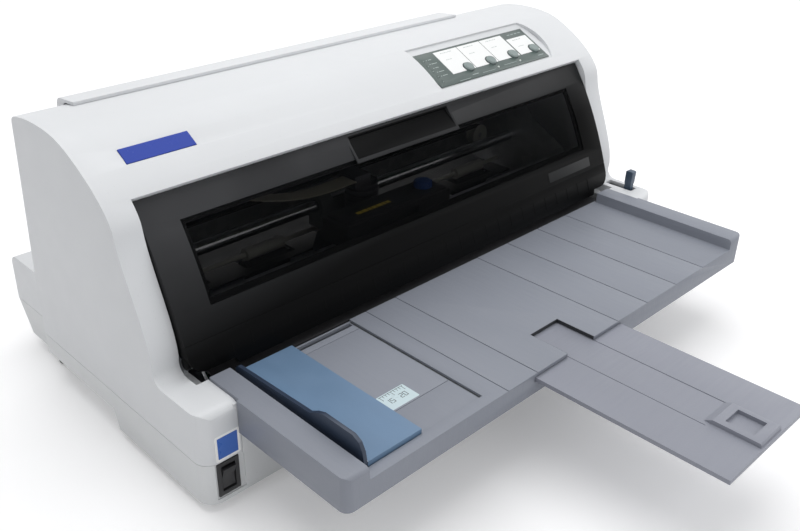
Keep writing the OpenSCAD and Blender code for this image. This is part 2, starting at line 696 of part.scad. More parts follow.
module rear_beam() color([0.62, 0.64, 0.66]) placed() {
    difference() {
        block(-frame_x, frame_x, beam_y, beam_y + 2, 79, 134);
        slab_hole(-belt_half, 9);
        for (x = [-120:60:120]) block(x - 18, x + 18, beam_y - 1, beam_y + 3, 118, 126);
    }
    block(-frame_x, frame_x, beam_y, beam_y + 14, 132.5, 134);
    // arm that holds the end of the flat cable
    block(-5, 25, beam_y - 70, beam_y + 10, 166, 167.5);
    block(-5, 25, beam_y + 8, beam_y + 10, 133, 167.5);
    // axle of the idle belt pulley
    translate([belt_half, beam_y + 1, belt_z]) rotate([90, 0, 0]) cylinder(18, 2.5, 2.5);
}
module slab_hole(x, r) translate([x, beam_y + 4, belt_z]) rotate([90, 0, 0]) cylinder(8, r, r);

roller_spots = [-160, -80, 0, 80, 160];
guide_low = floor_z - 2;
guide_high = floor_z - 0.5;
module roller_windows(y) for (x = roller_spots)
    block(x - 24, x + 24, y - roller_r - 1.5, y + roller_r + 1.5, guide_low - 2, guide_high + 2);
module front_paper_guide() color([0.24, 0.25, 0.27]) placed() difference() {
    block(-frame_x + 0.5, frame_x - 0.5, -85.4, -12, guide_low, guide_high);
    roller_windows(front_at[0]);
}
module rear_paper_guide() color([0.24, 0.25, 0.27]) placed() difference() {
    union() {
        block(-frame_x + 0.5, frame_x - 0.5, 16, 58, guide_low, guide_high);
        slab(trough_x0 + 1, trough_x1 - 4)
            polygon([[58, guide_low], [84, 76], [96, 76], [96, 77.4], [83.5, 77.4], [58, guide_high]]);
    }
    roller_windows(rear_at[0]);
}

// Electronics
module main_board() color([0.10, 0.38, 0.22]) placed() {
    block(-196, 30, -18, 76, 18, 19.6);
    for (x = [-188, 22]) for (y = [-10, 56]) translate([x, y, plate_z + plate_t]) cylinder(4.6, 3, 3);
    for (p = [[-150, 20], [-90, 30], [-30, 10]]) block(p[0], p[0] + 34, p[1], p[1] + 34, 19.4, 22.6);
    for (x = [-180:22:-60]) translate([x, -4, 19.4]) cylinder(12, 4, 4);
    block(-60, 10, 60, 68, 19.4, 28);
}
module power_board() color([0.55, 0.42, 0.22]) placed() {
    block(48, 162, -18, 76, 18, 19.6);
    for (x = [54, 156]) for (y = [-10, 68]) translate([x, y, plate_z + plate_t]) cylinder(4.6, 3, 3);
    block(60, 98, 26, 60, 19.4, 42);
    translate([122, 44, 19.4]) cylinder(24, 10, 10);
    translate([146, 44, 19.4]) cylinder(20, 8, 8);
    for (y = [-12:6:6]) block(106, 156, y, y + 1.4, 19.4, 40);
    block(106, 156, -12, 8, 19.4, 22);
}

// Feed train
function meet(a, ra, b, rb, side) = let (d = norm(b - a), u = (b - a) / d,
    along = (ra*ra - rb*rb + d*d) / (2 * d), off = sqrt(ra*ra - along*along))
    a + along * u + side * off * [-u[1], u[0]];
function heading(a, b) = atan2(b[1] - a[1], b[0] - a[0]);
// Turn of a gear that puts a gap where its neighbour has a tooth
function mesh_turn(turn_a, teeth_a, teeth_b, toward) =
    toward + 180 - ((turn_a - toward) * teeth_a + 180) / teeth_b;

idler_r = idler_teeth / 2;
platen_gear_r = platen_teeth / 2;
roller_gear_r = roller_teeth / 2;
feed_idler_r = feed_idler_teeth / 2;
pinion_r = pinion_teeth / 2;
front_idler_at = meet(platen_at, platen_gear_r + idler_r, front_at, roller_gear_r + idler_r, 1);
rear_idler_at = meet(platen_at, platen_gear_r + idler_r, rear_at, roller_gear_r + idler_r, -1);
feed_idler_at = meet(motor_at, pinion_r + feed_idler_r, front_at, roller_gear_r + feed_idler_r, -1);
platen_turn = 0;
front_idler_turn = mesh_turn(platen_turn, platen_teeth, idler_teeth, heading(platen_at, front_idler_at));
rear_idler_turn = mesh_turn(platen_turn, platen_teeth, idler_teeth, heading(platen_at, rear_idler_at));
front_turn = mesh_turn(front_idler_turn, idler_teeth, roller_teeth, heading(front_idler_at, front_at));
rear_turn = mesh_turn(rear_idler_turn, idler_teeth, roller_teeth, heading(rear_idler_at, rear_at));
feed_idler_turn = mesh_turn(front_turn, roller_teeth, feed_idler_teeth, heading(front_at, feed_idler_at));
pinion_turn = mesh_turn(feed_idler_turn, feed_idler_teeth, pinion_teeth, heading(feed_idler_at, motor_at));

// Spur gear outline, one millimetre module
module gear_outline(teeth, turn) {
    pitch = teeth / 2;
    step = 360 / teeth;
    polygon([for (i = [0:teeth - 1]) for (p = [[-0.36, -1.15], [-0.205, 0], [-0.1, 0.6], [0.1, 0.6],
        [0.205, 0], [0.36, -1.15]])
        let (a = turn + (i + p[0]) * step, r = pitch + p[1]) r * [cos(a), sin(a)]]);
}
module gear(at, teeth, turn, bore) slab(gear_x, gear_x + gear_w) translate(at) difference() {
    gear_outline(teeth, turn);
    circle(bore);
}
module platen() color([0.12, 0.12, 0.13]) placed() {
    rod(-198, 198, platen_at, platen_r);
    rod(-frame_x - 4, gear_x + gear_w + 2, platen_at, 4);
    gear(platen_at, platen_teeth, platen_turn, 3.9);
}
module roller(at, turn, end_x) {
    rod(-frame_x - 4, end_x, at, 3);
    for (x = roller_spots) rod(x - 20, x + 20, at, roller_r);
    gear(at, roller_teeth, turn, 2.9);
}
module front_roller() color([0.16, 0.16, 0.17]) placed() roller(front_at, front_turn, gear_x + gear_w + 2);
pulley_x = 212.6;
pulley_w = 4.2;
module rear_roller() color([0.16, 0.16, 0.17]) placed() {
    roller(rear_at, rear_turn, pulley_x + pulley_w + 1);
    rod(pulley_x, pulley_x + pulley_w, rear_at, belt_drum_r);
}
module pinch(at) {
    c = [at[0], at[1] + roller_r + pinch_r + pinch_gap];
    rod(-frame_x - 3, frame_x + 3, c, 2);
    for (x = roller_spots) rod(x - 18, x + 18, c, pinch_r);
}
module front_pinch() color([0.45, 0.46, 0.48]) placed() pinch(front_at);
module rear_pinch() color([0.45, 0.46, 0.48]) placed() pinch(rear_at);
module front_idler_gear() color([0.90, 0.90, 0.86]) placed()
    gear(front_idler_at, idler_teeth, front_idler_turn, 2.5 + fit);
module rear_idler_gear() color([0.90, 0.90, 0.86]) placed()
    gear(rear_idler_at, idler_teeth, rear_idler_turn, 2.5 + fit);
module feed_idler_gear() color([0.90, 0.90, 0.86]) placed()
    gear(feed_idler_at, feed_idler_teeth, feed_idler_turn, 2.5 + fit);
module feed_motor() color([0.25, 0.25, 0.27]) placed() difference() {
    union() {
        slab(172, frame_x - 0.1) translate(motor_at) square([36, 36], center = true);
        rod(frame_x - 0.2, frame_x + 1.6, motor_at, 7.9);
    }
    rod(180, 230, motor_at, 2.5 + fit);
}
module feed_pinion() color([0.75, 0.70, 0.50]) placed() {
    rod(181, gear_x + gear_w + 1, motor_at, 2.5);
    gear(motor_at, pinion_teeth, pinion_turn, 2.4);
}

// Carriage
module carriage_rod() color([0.82, 0.83, 0.85]) placed() difference() {
    rod(-frame_x - 4, frame_x + 4, rod_at, rod_r);
    // grooves for the retaining clips
    both_sides() tube(frame_x + 2.4, frame_x + 3.2, rod_at, rod_r + 1, rod_r - 0.8);
}
module on_carriage() placed() translate([carriage_x, 0, 0]) children();
module carriage() color([0.15, 0.15, 0.17]) on_carriage() {
    difference() {
        union() {
            block(-30, 30, -16, 30, 80, 84);
            for (x = [-30, 18]) slab(x, x + 12) {
                translate(rod_at) circle(9);
                polygon([[13, 80], [31, 80], [31, 99], [13, 99]]);
            }
            block(-30, 30, 14.6, 16.4, 80, 104);
            block(-18.1, 18.1, 28, 31, 80, 96);
        }
        block(-9, 9, -7, 11, 79, 85);
        rod(-31, 31, rod_at, rod_r + fit);
    }
    // arm that carries the ribbon cartridge
    block(-30, 30, -41, -34, 90.2, 91.8);
    for (x = [-30, 26]) {
        block(x, x + 4, -16, -12, 80, 91.8);
        block(x, x + 4, -41, -12, 90.2, 91.8);
    }
    // jaws that grip the lower run of the belt
    block(-10, 10, 30, 45, 88, 92.5);
    block(-10, 10, 42.6, 45, 88, 98);
    block(-10, 10, 35, 45, 94.3, 98);
}
module print_head() color([0.20, 0.20, 0.22]) on_carriage() {
    translate([0, 1, 84]) cylinder(7, 13.4, 13.4);
    for (z = [92:5:117]) translate([0, 1, z]) cylinder(2.2, 13.2, 13.2);
    translate([0, 1, 84]) cylinder(36, 9, 9);
    block(-6, 6, -5, 9, 78, 85);
    block(-3, 3, -3, 7, 69.9, 79);
    // connector of the flat cable
    block(-18, -2, -12, 8, 119.5, 130);
}
cart_half = 55;
module ribbon_cartridge() color([0.08, 0.08, 0.09]) on_carriage() {
    difference() {
        union() {
            block(-cart_half, cart_half, -44, -16, 92, 110);
            block(-cart_half + 3, cart_half - 3, -42, -18, 109, 112);
            both_sides() slab(34, 46) polygon([[-17, 92], [-17, 104], [2, 88], [8, 72], [8, 70.4],
                [-4, 70.4], [-4, 76], [-12, 90]]);
        }
        translate([38, -30, 100]) cylinder(20, 2.5 + fit, 2.5 + fit);
        block(-cart_half + 8, 20, -45, -40, 96, 106);
    }
    block(-37, -1, -38, -26, 111.8, 112.8);
}
module ribbon_knob() color([0.20, 0.35, 0.65]) on_carriage() translate([38, -30, 0]) {
    translate([0, 0, 104]) cylinder(10, 2.5, 2.5);
    translate([0, 0, 112.4]) cylinder(5, 7, 6.6);
    translate([0, 0, 112.4]) for (a = [0:30:150]) rotate([0, 0, a]) block(-7.4, 7.4, -0.7, 0.7, 0, 4.6);
}
module ribbon() color([0.05, 0.05, 0.06]) on_carriage() block(-34, 34, -4, 8, 69.1, 69.4);
cable_line = [[carriage_x - 18.3, 127], [-50, 126], [-85, 127], [-118, 133], [-138, 142],
    [-147, 153], [-144, 163], [-132, 168], [-100, 168.2], [-50, 167.7], [20, 167.7]];
module head_cable() color([0.88, 0.86, 0.78]) placed()
    translate([0, 2, 0]) rotate([90, 0, 0]) linear_extrude(16)
        polygon(concat(cable_line, flip(beside(cable_line, 0.5))));
module carriage_motor() color([0.22, 0.22, 0.24]) placed()
    translate([-belt_half, beam_y + 2, belt_z]) rotate([-90, 0, 0]) difference() {
        union() { cylinder(22, 20.5, 20.5); translate([0, 0, -2]) cylinder(3, 8.8, 8.8); }
        translate([0, 0, -3]) cylinder(16, 2 + fit, 2 + fit);
    }
module belt_pulley(x) translate([x, belt_y - 1.4, belt_z]) rotate([-90, 0, 0]) children();
module drive_pulley() color([0.80, 0.79, 0.74]) placed() belt_pulley(-belt_half) {
    cylinder(1.2, 9.6, 9.6);
    cylinder(belt_w + 2.8, belt_pulley_r - 0.2, belt_pulley_r - 0.2);
    translate([0, 0, belt_w + 1.6]) cylinder(1.2, 9.6, 9.6);
    cylinder(28, 2, 2);
}
module idler_pulley() color([0.92, 0.92, 0.90]) placed() belt_pulley(belt_half) difference() {
    union() {
        cylinder(1.2, 9.6, 9.6);
        cylinder(belt_w + 2.8, belt_pulley_r - 0.2, belt_pulley_r - 0.2);
        translate([0, 0, belt_w + 1.6]) cylinder(1.2, 9.6, 9.6);
    }
    translate([0, 0, -1]) cylinder(20, 2.5 + fit, 2.5 + fit);
}
module loop_outline(half, r) {
    translate([-half, 0]) circle(r);
    translate([half, 0]) circle(r);
    square([2 * half, 2 * r], center = true);
}
belt_t = 1.2;
module carriage_belt() color([0.10, 0.10, 0.11]) placed()
    translate([0, belt_y + belt_w, belt_z]) rotate([90, 0, 0]) linear_extrude(belt_w) difference() {
        loop_outline(belt_half, belt_pulley_r + belt_t);
        loop_outline(belt_half, belt_pulley_r);
    }

// Tractors
tractor_spots = [-160, 120];
module tractor_shaft() color([0.75, 0.76, 0.78]) placed() {
    rod(trough_x0 - 2.8, pulley_x + pulley_w + 1, tractor_at, tractor_shaft_r);
    rod(pulley_x, pulley_x + pulley_w, tractor_at, tractor_pulley_r);
}
module sprocket(x) difference() {
    union() {
        rod(x - 4, x + 4, tractor_at, 10.5);
        for (i = [0:5]) translate([x, tractor_at[0], tractor_at[1]]) rotate([60 * i + 30, 0, 0])
            translate([0, 0, 9]) cylinder(sprocket_r - 8, 1.6, 1);
    }
    rod(x - 5, x + 5, tractor_at, tractor_shaft_r + fit);
}
module left_sprocket() color([0.85, 0.85, 0.82]) placed() sprocket(tractor_spots[0]);
module right_sprocket() color([0.85, 0.85, 0.82]) placed() sprocket(tractor_spots[1]);
module tractor_belt() color([0.10, 0.10, 0.11]) placed() slab(pulley_x + 0.6, pulley_x + pulley_w - 0.6)
    difference() { tractor_loop(1.4); tractor_loop(0.1); }
module tractor_loop(grow) {
    r0 = belt_drum_r + grow;
    r1 = tractor_pulley_r + grow;
    d = tractor_at - rear_at;
    lean = asin((r1 - r0) / norm(d));
    a = heading(rear_at, tractor_at);
    translate(rear_at) circle(r0);
    translate(tractor_at) circle(r1);
    polygon([for (c = [[rear_at, r0, 90 + lean], [rear_at, r0, -90 - lean],
        [tractor_at, r1, -90 - lean], [tractor_at, r1, 90 + lean]])
        c[0] + c[1] * [cos(a + c[2]), sin(a + c[2])]]);
}
module tractor(x) {
    difference() {
        union() {
            for (s = [-1, 1]) slab(x + s * 8.5 - 2.5, x + s * 8.5 + 2.5) tractor_side();
            block(x - 7, x + 7, 98, 135, 40.5, 42.5);
        }
        rod(x - 12, x + 12, tractor_at, tractor_shaft_r + 0.2);
    }
    // flap over the sprocket pins
    block(x - 11, x + 11, 102, 129, 70.4, 71.6);
}
module tractor_side() polygon([[98, 41], [135, 41], [135, 64], [130, 70.6], [104, 70.6], [98, 64]]);
module left_tractor() color([0.30, 0.32, 0.36]) placed() tractor(tractor_spots[0]);
module right_tractor() color([0.30, 0.32, 0.36]) placed() tractor(tractor_spots[1]);

lower_case();
upper_case();
rear_cover();
tractor_cover();
front_cover();
cover_window();
panel_overlay();
panel_board();
button_1();
button_2();
button_3();
button_4();
panel_lights();
badge_plate();
power_switch();
switch_rocker();
thickness_lever();
front_table();
edge_guide();
table_extension();
rubber_feet();
case_screws();
power_inlet();
interface_ports();
base_plate();
main_board();
power_board();
left_frame();
right_frame();
rear_beam();
front_beam();
front_paper_guide();
rear_paper_guide();
platen();
front_roller();
rear_roller();
front_pinch();
rear_pinch();
front_idler_gear();
rear_idler_gear();
feed_idler_gear();
feed_motor();
feed_pinion();
carriage_rod();
carriage();
print_head();
ribbon_cartridge();
ribbon_knob();
ribbon();
head_cable();
carriage_motor();
drive_pulley();
idler_pulley();
carriage_belt();
tractor_shaft();
tractor_belt();
left_tractor();
right_tractor();
left_sprocket();
right_sprocket();
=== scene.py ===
import bpy
import bmesh
import math
import random
from mathutils import Matrix, Vector


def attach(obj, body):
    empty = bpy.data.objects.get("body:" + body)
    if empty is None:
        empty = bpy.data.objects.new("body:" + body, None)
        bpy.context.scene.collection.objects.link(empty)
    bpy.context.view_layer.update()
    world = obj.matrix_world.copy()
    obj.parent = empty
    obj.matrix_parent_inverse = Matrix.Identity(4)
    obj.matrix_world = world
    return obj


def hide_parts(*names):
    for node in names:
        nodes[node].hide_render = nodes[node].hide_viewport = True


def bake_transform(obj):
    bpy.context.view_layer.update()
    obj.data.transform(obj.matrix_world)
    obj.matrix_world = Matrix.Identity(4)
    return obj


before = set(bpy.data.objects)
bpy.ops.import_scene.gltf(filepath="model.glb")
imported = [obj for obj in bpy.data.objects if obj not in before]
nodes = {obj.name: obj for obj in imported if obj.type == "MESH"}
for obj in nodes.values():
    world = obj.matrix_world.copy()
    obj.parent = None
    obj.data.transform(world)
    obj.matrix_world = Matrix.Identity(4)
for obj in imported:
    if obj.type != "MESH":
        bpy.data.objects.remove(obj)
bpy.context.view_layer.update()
rng = random.Random(24)
caseShift = 96  # the case's own middle lies this far behind the origin, in millimetres
print("frame loaded,", len(nodes), "nodes")


# Places: millimetres of the case in, metres of the frame out
def onCase(x, y, z):
    return Vector((x, y + caseShift, z)) / 1000


panelTilt = math.radians(27)
panelFoot = Vector((-29, 186))  # y and z where the panel's slope starts


def onPanel(x, s, up):
    # s runs up the slope, and up leaves it squarely
    y = panelFoot.x + s * math.cos(panelTilt) - up * math.sin(panelTilt)
    z = panelFoot.y + s * math.sin(panelTilt) + up * math.cos(panelTilt)
    return onCase(x, y, z)


def bezierPoint(corners, t):
    a, b, c, d = (Vector(p) for p in corners)
    s = 1 - t
    return a * s ** 3 + b * 3 * s * s * t + c * 3 * s * t * t + d * t ** 3


# the cover's face from its foot to its top, as y and z
coverCurve = {"corners": [(-84.4, 70.5), (-75.4, 99), (-61.5, 140), (-33, 177.5)], "steps": 16}
coverLine = [bezierPoint(coverCurve["corners"], i / coverCurve["steps"])
             for i in range(coverCurve["steps"] + 1)]


def onCover(x, z, up):
    # the cover's face at height z, moved outward by up
    for low, high in zip(coverLine, coverLine[1:]):
        if z <= high.y or high is coverLine[-1]:
            break
    along = high - low
    spot = low + along * ((z - low.y) / along.y)
    out = Vector((-along.y, along.x)).normalized()
    return onCase(x, spot.x + out.x * up, spot.y + out.y * up)


# Material helpers
def startMaterial(name, colour, roughness, metallic=0.0):
    mat = bpy.data.materials.new(name)
    mat.use_nodes = True
    shader = mat.node_tree.nodes["Principled BSDF"]
    shader.inputs["Base Color"].default_value = (*colour, 1)
    shader.inputs["Roughness"].default_value = roughness
    shader.inputs["Metallic"].default_value = metallic
    return mat, mat.node_tree, shader


def objectCoords(tree, stretch=(1, 1, 1)):
    coords = tree.nodes.new("ShaderNodeTexCoord")
    mapping = tree.nodes.new("ShaderNodeMapping")
    mapping.inputs["Scale"].default_value = stretch
    tree.links.new(coords.outputs["Object"], mapping.inputs["Vector"])
    return mapping.outputs["Vector"]


def objectNoise(tree, scale, detail, stretch=(1, 1, 1)):
    noise = tree.nodes.new("ShaderNodeTexNoise")
    noise.inputs["Scale"].default_value = scale
    noise.inputs["Detail"].default_value = detail
    tree.links.new(objectCoords(tree, stretch), noise.inputs["Vector"])
    return noise.outputs["Fac"]


def objectCells(tree, scale, output="Distance"):
    cells = tree.nodes.new("ShaderNodeTexVoronoi")
    cells.inputs["Scale"].default_value = scale
    tree.links.new(objectCoords(tree), cells.inputs["Vector"])
    return cells.outputs[output]


def objectPlace(tree, axis="Z"):
    coords = tree.nodes.new("ShaderNodeTexCoord")
    axes = tree.nodes.new("ShaderNodeSeparateXYZ")
    tree.links.new(coords.outputs["Object"], axes.inputs["Vector"])
    return axes.outputs[axis]


def spread(tree, value, low, high, start=0.3, end=0.7):
    ramp = tree.nodes.new("ShaderNodeMapRange")
    ramp.inputs["From Min"].default_value = start
    ramp.inputs["From Max"].default_value = end
    ramp.inputs["To Min"].default_value = low
    ramp.inputs["To Max"].default_value = high
    tree.links.new(value, ramp.inputs["Value"])
    return ramp.outputs["Result"]


def combine(tree, way, first, second):
    # first and second are sockets or plain numbers
    node = tree.nodes.new("ShaderNodeMath")
    node.operation = way
    for slot, value in zip(node.inputs, (first, second)):
        if isinstance(value, bpy.types.NodeSocket):
            tree.links.new(value, slot)
        else:
            slot.default_value = value
    return node.outputs[0]


def mixColour(tree, value, dark, light):
    # dark and light are colours or sockets
    mix = tree.nodes.new("ShaderNodeMix")
    mix.data_type = "RGBA"
    for socket, colour in (("A", dark), ("B", light)):
        if isinstance(colour, bpy.types.NodeSocket):
            tree.links.new(colour, mix.inputs[socket])
        else:
            mix.inputs[socket].default_value = (*colour, 1)
    tree.links.new(value, mix.inputs["Factor"])
    return mix.outputs["Result"]


def addBump(tree, shader, height, depth, strength=1.0, under=None):
    bump = tree.nodes.new("ShaderNodeBump")
    bump.inputs["Distance"].default_value = depth
    bump.inputs["Strength"].default_value = strength
    tree.links.new(height, bump.inputs["Height"])
    if under is not None:
        tree.links.new(under, bump.inputs["Normal"])
    tree.links.new(bump.outputs["Normal"], shader.inputs["Normal"])
    return bump.outputs["Normal"]


def shade(colour, factor):
    return tuple(min(1.0, c * factor) for c in colour)


mould = {"cloudScale": 9, "dustScale": 260, "dustReach": (0.03, 0.09), "dustShade": 0.55,
         "patchScale": 70, "patchGloss": (-0.05, 0.07), "waveScale": 16, "waveDepth": 0.00012,
         "waveStrength": 0.4}


def mouldedPlastic(name, colour, roughness, grain=1300, depth=0.00004, variation=0.04, specks=0.0,
                   specular=0.5, lines=(1, 1, 1)):
    # spark-eroded grain over broad, faint colour changes, with a few specks of dust
    mat, tree, shader = startMaterial(name, colour, roughness)
    broad = objectNoise(tree, mould["cloudScale"], 3)
    paint = mixColour(tree, spread(tree, broad, 0, 1), shade(colour, 1 - variation),
                      shade(colour, 1 + variation))
    if specks:
        dots = spread(tree, objectCells(tree, mould["dustScale"]), specks, 0, *mould["dustReach"])
        paint = mixColour(tree, dots, paint, shade(colour, mould["dustShade"]))
    tree.links.new(paint, shader.inputs["Base Color"])
    patches = objectNoise(tree, mould["patchScale"], 4, lines)
    smoother, rougher = mould["patchGloss"]
    gloss = spread(tree, patches, roughness + smoother, roughness + rougher)
    tree.links.new(gloss, shader.inputs["Roughness"])
    shader.inputs["Specular IOR Level"].default_value = specular
    waves = objectNoise(tree, mould["waveScale"], 2)
    soft = addBump(tree, shader, waves, mould["waveDepth"], mould["waveStrength"])
    addBump(tree, shader, objectNoise(tree, grain, 3), depth, 1.0, soft)
    return mat


metal = {"lineScale": 8, "lineGloss": (-0.08, 0.12), "darker": 0.86, "lighter": 1.05, "crystalScale": 110,
         "crystalReach": (0.2, 0.9), "crystalShade": 1.5, "lineDepth": 0.00003, "lineStrength": 0.6}


def brushedMetal(name, colour, roughness, stretch, spangle=0.0):
    # fine lines drawn out along the metal, with crystals on zinc
    mat, tree, shader = startMaterial(name, colour, roughness, 1.0)
    lines = objectNoise(tree, metal["lineScale"], 4, stretch)
    smoother, rougher = metal["lineGloss"]
    tree.links.new(spread(tree, lines, roughness + smoother, roughness + rougher), shader.inputs["Roughness"])
    paint = mixColour(tree, spread(tree, lines, 0, 1), shade(colour, metal["darker"]),
                      shade(colour, metal["lighter"]))
    if spangle:
        crystals = objectCells(tree, metal["crystalScale"], "Color")
        crystals = spread(tree, crystals, 0, spangle, *metal["crystalReach"])
        paint = mixColour(tree, crystals, paint, shade(colour, metal["crystalShade"]))
    tree.links.new(paint, shader.inputs["Base Color"])
    addBump(tree, shader, lines, metal["lineDepth"], metal["lineStrength"])
    return mat


# Plastics, rubbers and inks
plastics = {
    "caseShell": dict(colour=(0.70, 0.715, 0.735), roughness=0.46, variation=0.015, specks=0.25,
                      specular=0.4),
    "baseShell": dict(colour=(0.685, 0.70, 0.71), roughness=0.5, variation=0.02, specks=0.3, specular=0.4),
    "tableShell": dict(colour=(0.228, 0.245, 0.288), roughness=0.5, grain=1100, depth=0.00006, variation=0.03,
                       specks=0.2, lines=(7, 0.6, 1)),
    "extensionShell": dict(colour=(0.258, 0.270, 0.318), roughness=0.48, grain=1100, depth=0.00006,
                           variation=0.03, specks=0.2, lines=(0.6, 7, 1)),
    "coverTrim": dict(colour=(0.024, 0.025, 0.026), roughness=0.42, grain=1500, depth=0.00002, specular=0.12),
    "buttonCap": dict(colour=(0.22, 0.27, 0.265), roughness=0.34, grain=900, depth=0.00001),
    "blackShell": dict(colour=(0.018, 0.018, 0.020), roughness=0.45, variation=0.12),
    "greyShell": dict(colour=(0.11, 0.12, 0.12), roughness=0.5, variation=0.08),
    "leverGrip": dict(colour=(0.055, 0.085, 0.13), roughness=0.4),
    "footRubber": dict(colour=(0.02, 0.02, 0.02), roughness=0.8, variation=0.15),
    "rollerRubber": dict(colour=(0.022, 0.022, 0.024), roughness=0.7, grain=2400, variation=0.2,
                         lines=(1, 9, 9)),
    "gearPlastic": dict(colour=(0.72, 0.72, 0.66), roughness=0.4),
    "ribbonCloth": dict(colour=(0.008, 0.008, 0.010), roughness=0.85, grain=3000, depth=0.0001,
                        variation=0.3),
    "cablePlastic": dict(colour=(0.66, 0.62, 0.50), roughness=0.36, grain=700, depth=0.00002,
                         lines=(1, 40, 1)),
    "beltRubber": dict(colour=(0.015, 0.015, 0.016), roughness=0.65, variation=0.2),
    "knobPlastic": dict(colour=(0.03, 0.10, 0.36), roughness=0.38),
    "badgeFilm": dict(colour=(0.022, 0.055, 0.36), roughness=0.25, grain=700, depth=0.000006, variation=0.03,
                      specular=0.15),
    "panelFilm": dict(colour=(0.075, 0.105, 0.098), roughness=0.33, grain=1500, depth=0.00001),
    "motorPaint": dict(colour=(0.03, 0.03, 0.034), roughness=0.4),
    # pale ink prints the panel's fields, and the same colour paints a highlight line on the slider
    "paleInk": dict(colour=(0.86, 0.87, 0.87), roughness=0.42, grain=1500, depth=0.000008, variation=0.02),
    "greyInk": dict(colour=(0.36, 0.42, 0.41), roughness=0.42, grain=1500, depth=0.000008),
    # dark ink prints the ruler, and the same colour paints shade strips in the table's gaps and the notch
    "darkInk": dict(colour=(0.02, 0.022, 0.026), roughness=0.6, grain=1200, depth=0.00002),
    "blueInk": dict(colour=(0.03, 0.12, 0.46), roughness=0.3, grain=900, depth=0.000008),
    "yellowInk": dict(colour=(0.85, 0.64, 0.08), roughness=0.45, grain=900, depth=0.00001),
    "rulerFilm": dict(colour=(0.56, 0.68, 0.72), roughness=0.3, grain=900, depth=0.000008, variation=0.03),
    "labelPaper": dict(colour=(0.90, 0.90, 0.89), roughness=0.5, grain=700, depth=0.00001, variation=0.02),
}
metals = {
    "zincSheet": dict(colour=(0.50, 0.51, 0.53), roughness=0.4, stretch=(20, 20, 160), spangle=0.35),
    "groundRod": dict(colour=(0.70, 0.71, 0.73), roughness=0.18, stretch=(4, 200, 200)),
    "screwSteel": dict(colour=(0.55, 0.55, 0.57), roughness=0.3, stretch=(90, 90, 90)),
    "pinionBrass": dict(colour=(0.62, 0.46, 0.18), roughness=0.28, stretch=(90, 40, 40)),
    "headCasting": dict(colour=(0.10, 0.10, 0.11), roughness=0.5, stretch=(60, 60, 60)),
}
made = {name: mouldedPlastic(name, **values) for name, values in plastics.items()}
made.update({name: brushedMetal(name, **values) for name, values in metals.items()})


def smokedPlastic():
    # see-through dark plastic with faint smears
    window = dict(colour=(0.002, 0.0022, 0.0025), alpha=0.42, roughness=0.09, gloss=(0.06, 0.13),
                  specular=0.02, smearScale=26, smearStretch=(1, 1, 0.3), smearShade=1.5, waveDepth=0.00002)
    mat, tree, shader = startMaterial("smokedWindow", window["colour"], window["roughness"])
    shader.inputs["Alpha"].default_value = window["alpha"]
    shader.inputs["Specular IOR Level"].default_value = window["specular"]
    tree.links.new(spread(tree, objectNoise(tree, 30, 3), *window["gloss"]), shader.inputs["Roughness"])
    smears = spread(tree, objectNoise(tree, window["smearScale"], 4, window["smearStretch"]), 0, 1, 0.45, 0.7)
    paint = mixColour(tree, smears, window["colour"], shade(window["colour"], window["smearShade"]))
    tree.links.new(paint, shader.inputs["Base Color"])
    addBump(tree, shader, objectNoise(tree, 14, 2), window["waveDepth"])
    return mat


def coverPlastic():
    # half-gloss dark moulding: a painted reflection lightens the colour toward the upper left, and painted
    # shade keeps the grip's recess dark
    shell = dict(low=(0.0028, 0.0029, 0.0031), high=(0.052, 0.053, 0.056), hollow=(0.003, 0.0032, 0.0035),
                 tilt=0.13, fade=(0.115, 0.185), cloud=(0.75, 1.15), gripX=(-0.050, 0.052),
                 gripZ=(0.151, 0.1755), gripY=0.050, roughness=0.36, gloss=(0.33, 0.44), specular=0.05,
                 waveDepth=0.0001, waveStrength=0.4, grain=1900, depth=0.000012)
    mat, tree, shader = startMaterial("coverShell", shell["low"], shell["roughness"])
    height = objectPlace(tree)
    side = objectPlace(tree, "X")
    # painted reflection: the colour grows lighter toward the top and toward the left
    tilted = combine(tree, "SUBTRACT", height, combine(tree, "MULTIPLY", side, shell["tilt"]))
    paintedSheen = spread(tree, tilted, 0, 1, *shell["fade"])
    cloud = spread(tree, objectNoise(tree, 12, 4), *shell["cloud"])
    paint = mixColour(tree, combine(tree, "MULTIPLY", paintedSheen, cloud), shell["low"], shell["high"])
    # painted shade: the grip's recess keeps the dark colour
    hollowShadeMask = combine(tree, "GREATER_THAN", objectPlace(tree, "Y"), shell["gripY"])
    for value, (low, high) in ((side, shell["gripX"]), (height, shell["gripZ"])):
        hollowShadeMask = combine(tree, "MULTIPLY", hollowShadeMask, combine(tree, "GREATER_THAN", value, low))
        hollowShadeMask = combine(tree, "MULTIPLY", hollowShadeMask, combine(tree, "LESS_THAN", value, high))
    tree.links.new(mixColour(tree, hollowShadeMask, paint, shell["hollow"]), shader.inputs["Base Color"])
    tree.links.new(spread(tree, objectNoise(tree, 45, 4), *shell["gloss"]), shader.inputs["Roughness"])
    shader.inputs["Specular IOR Level"].default_value = shell["specular"]
    soft = addBump(tree, shader, objectNoise(tree, 12, 2), shell["waveDepth"], shell["waveStrength"])
    addBump(tree, shader, objectNoise(tree, shell["grain"], 3), shell["depth"], 1.0, soft)
    return mat


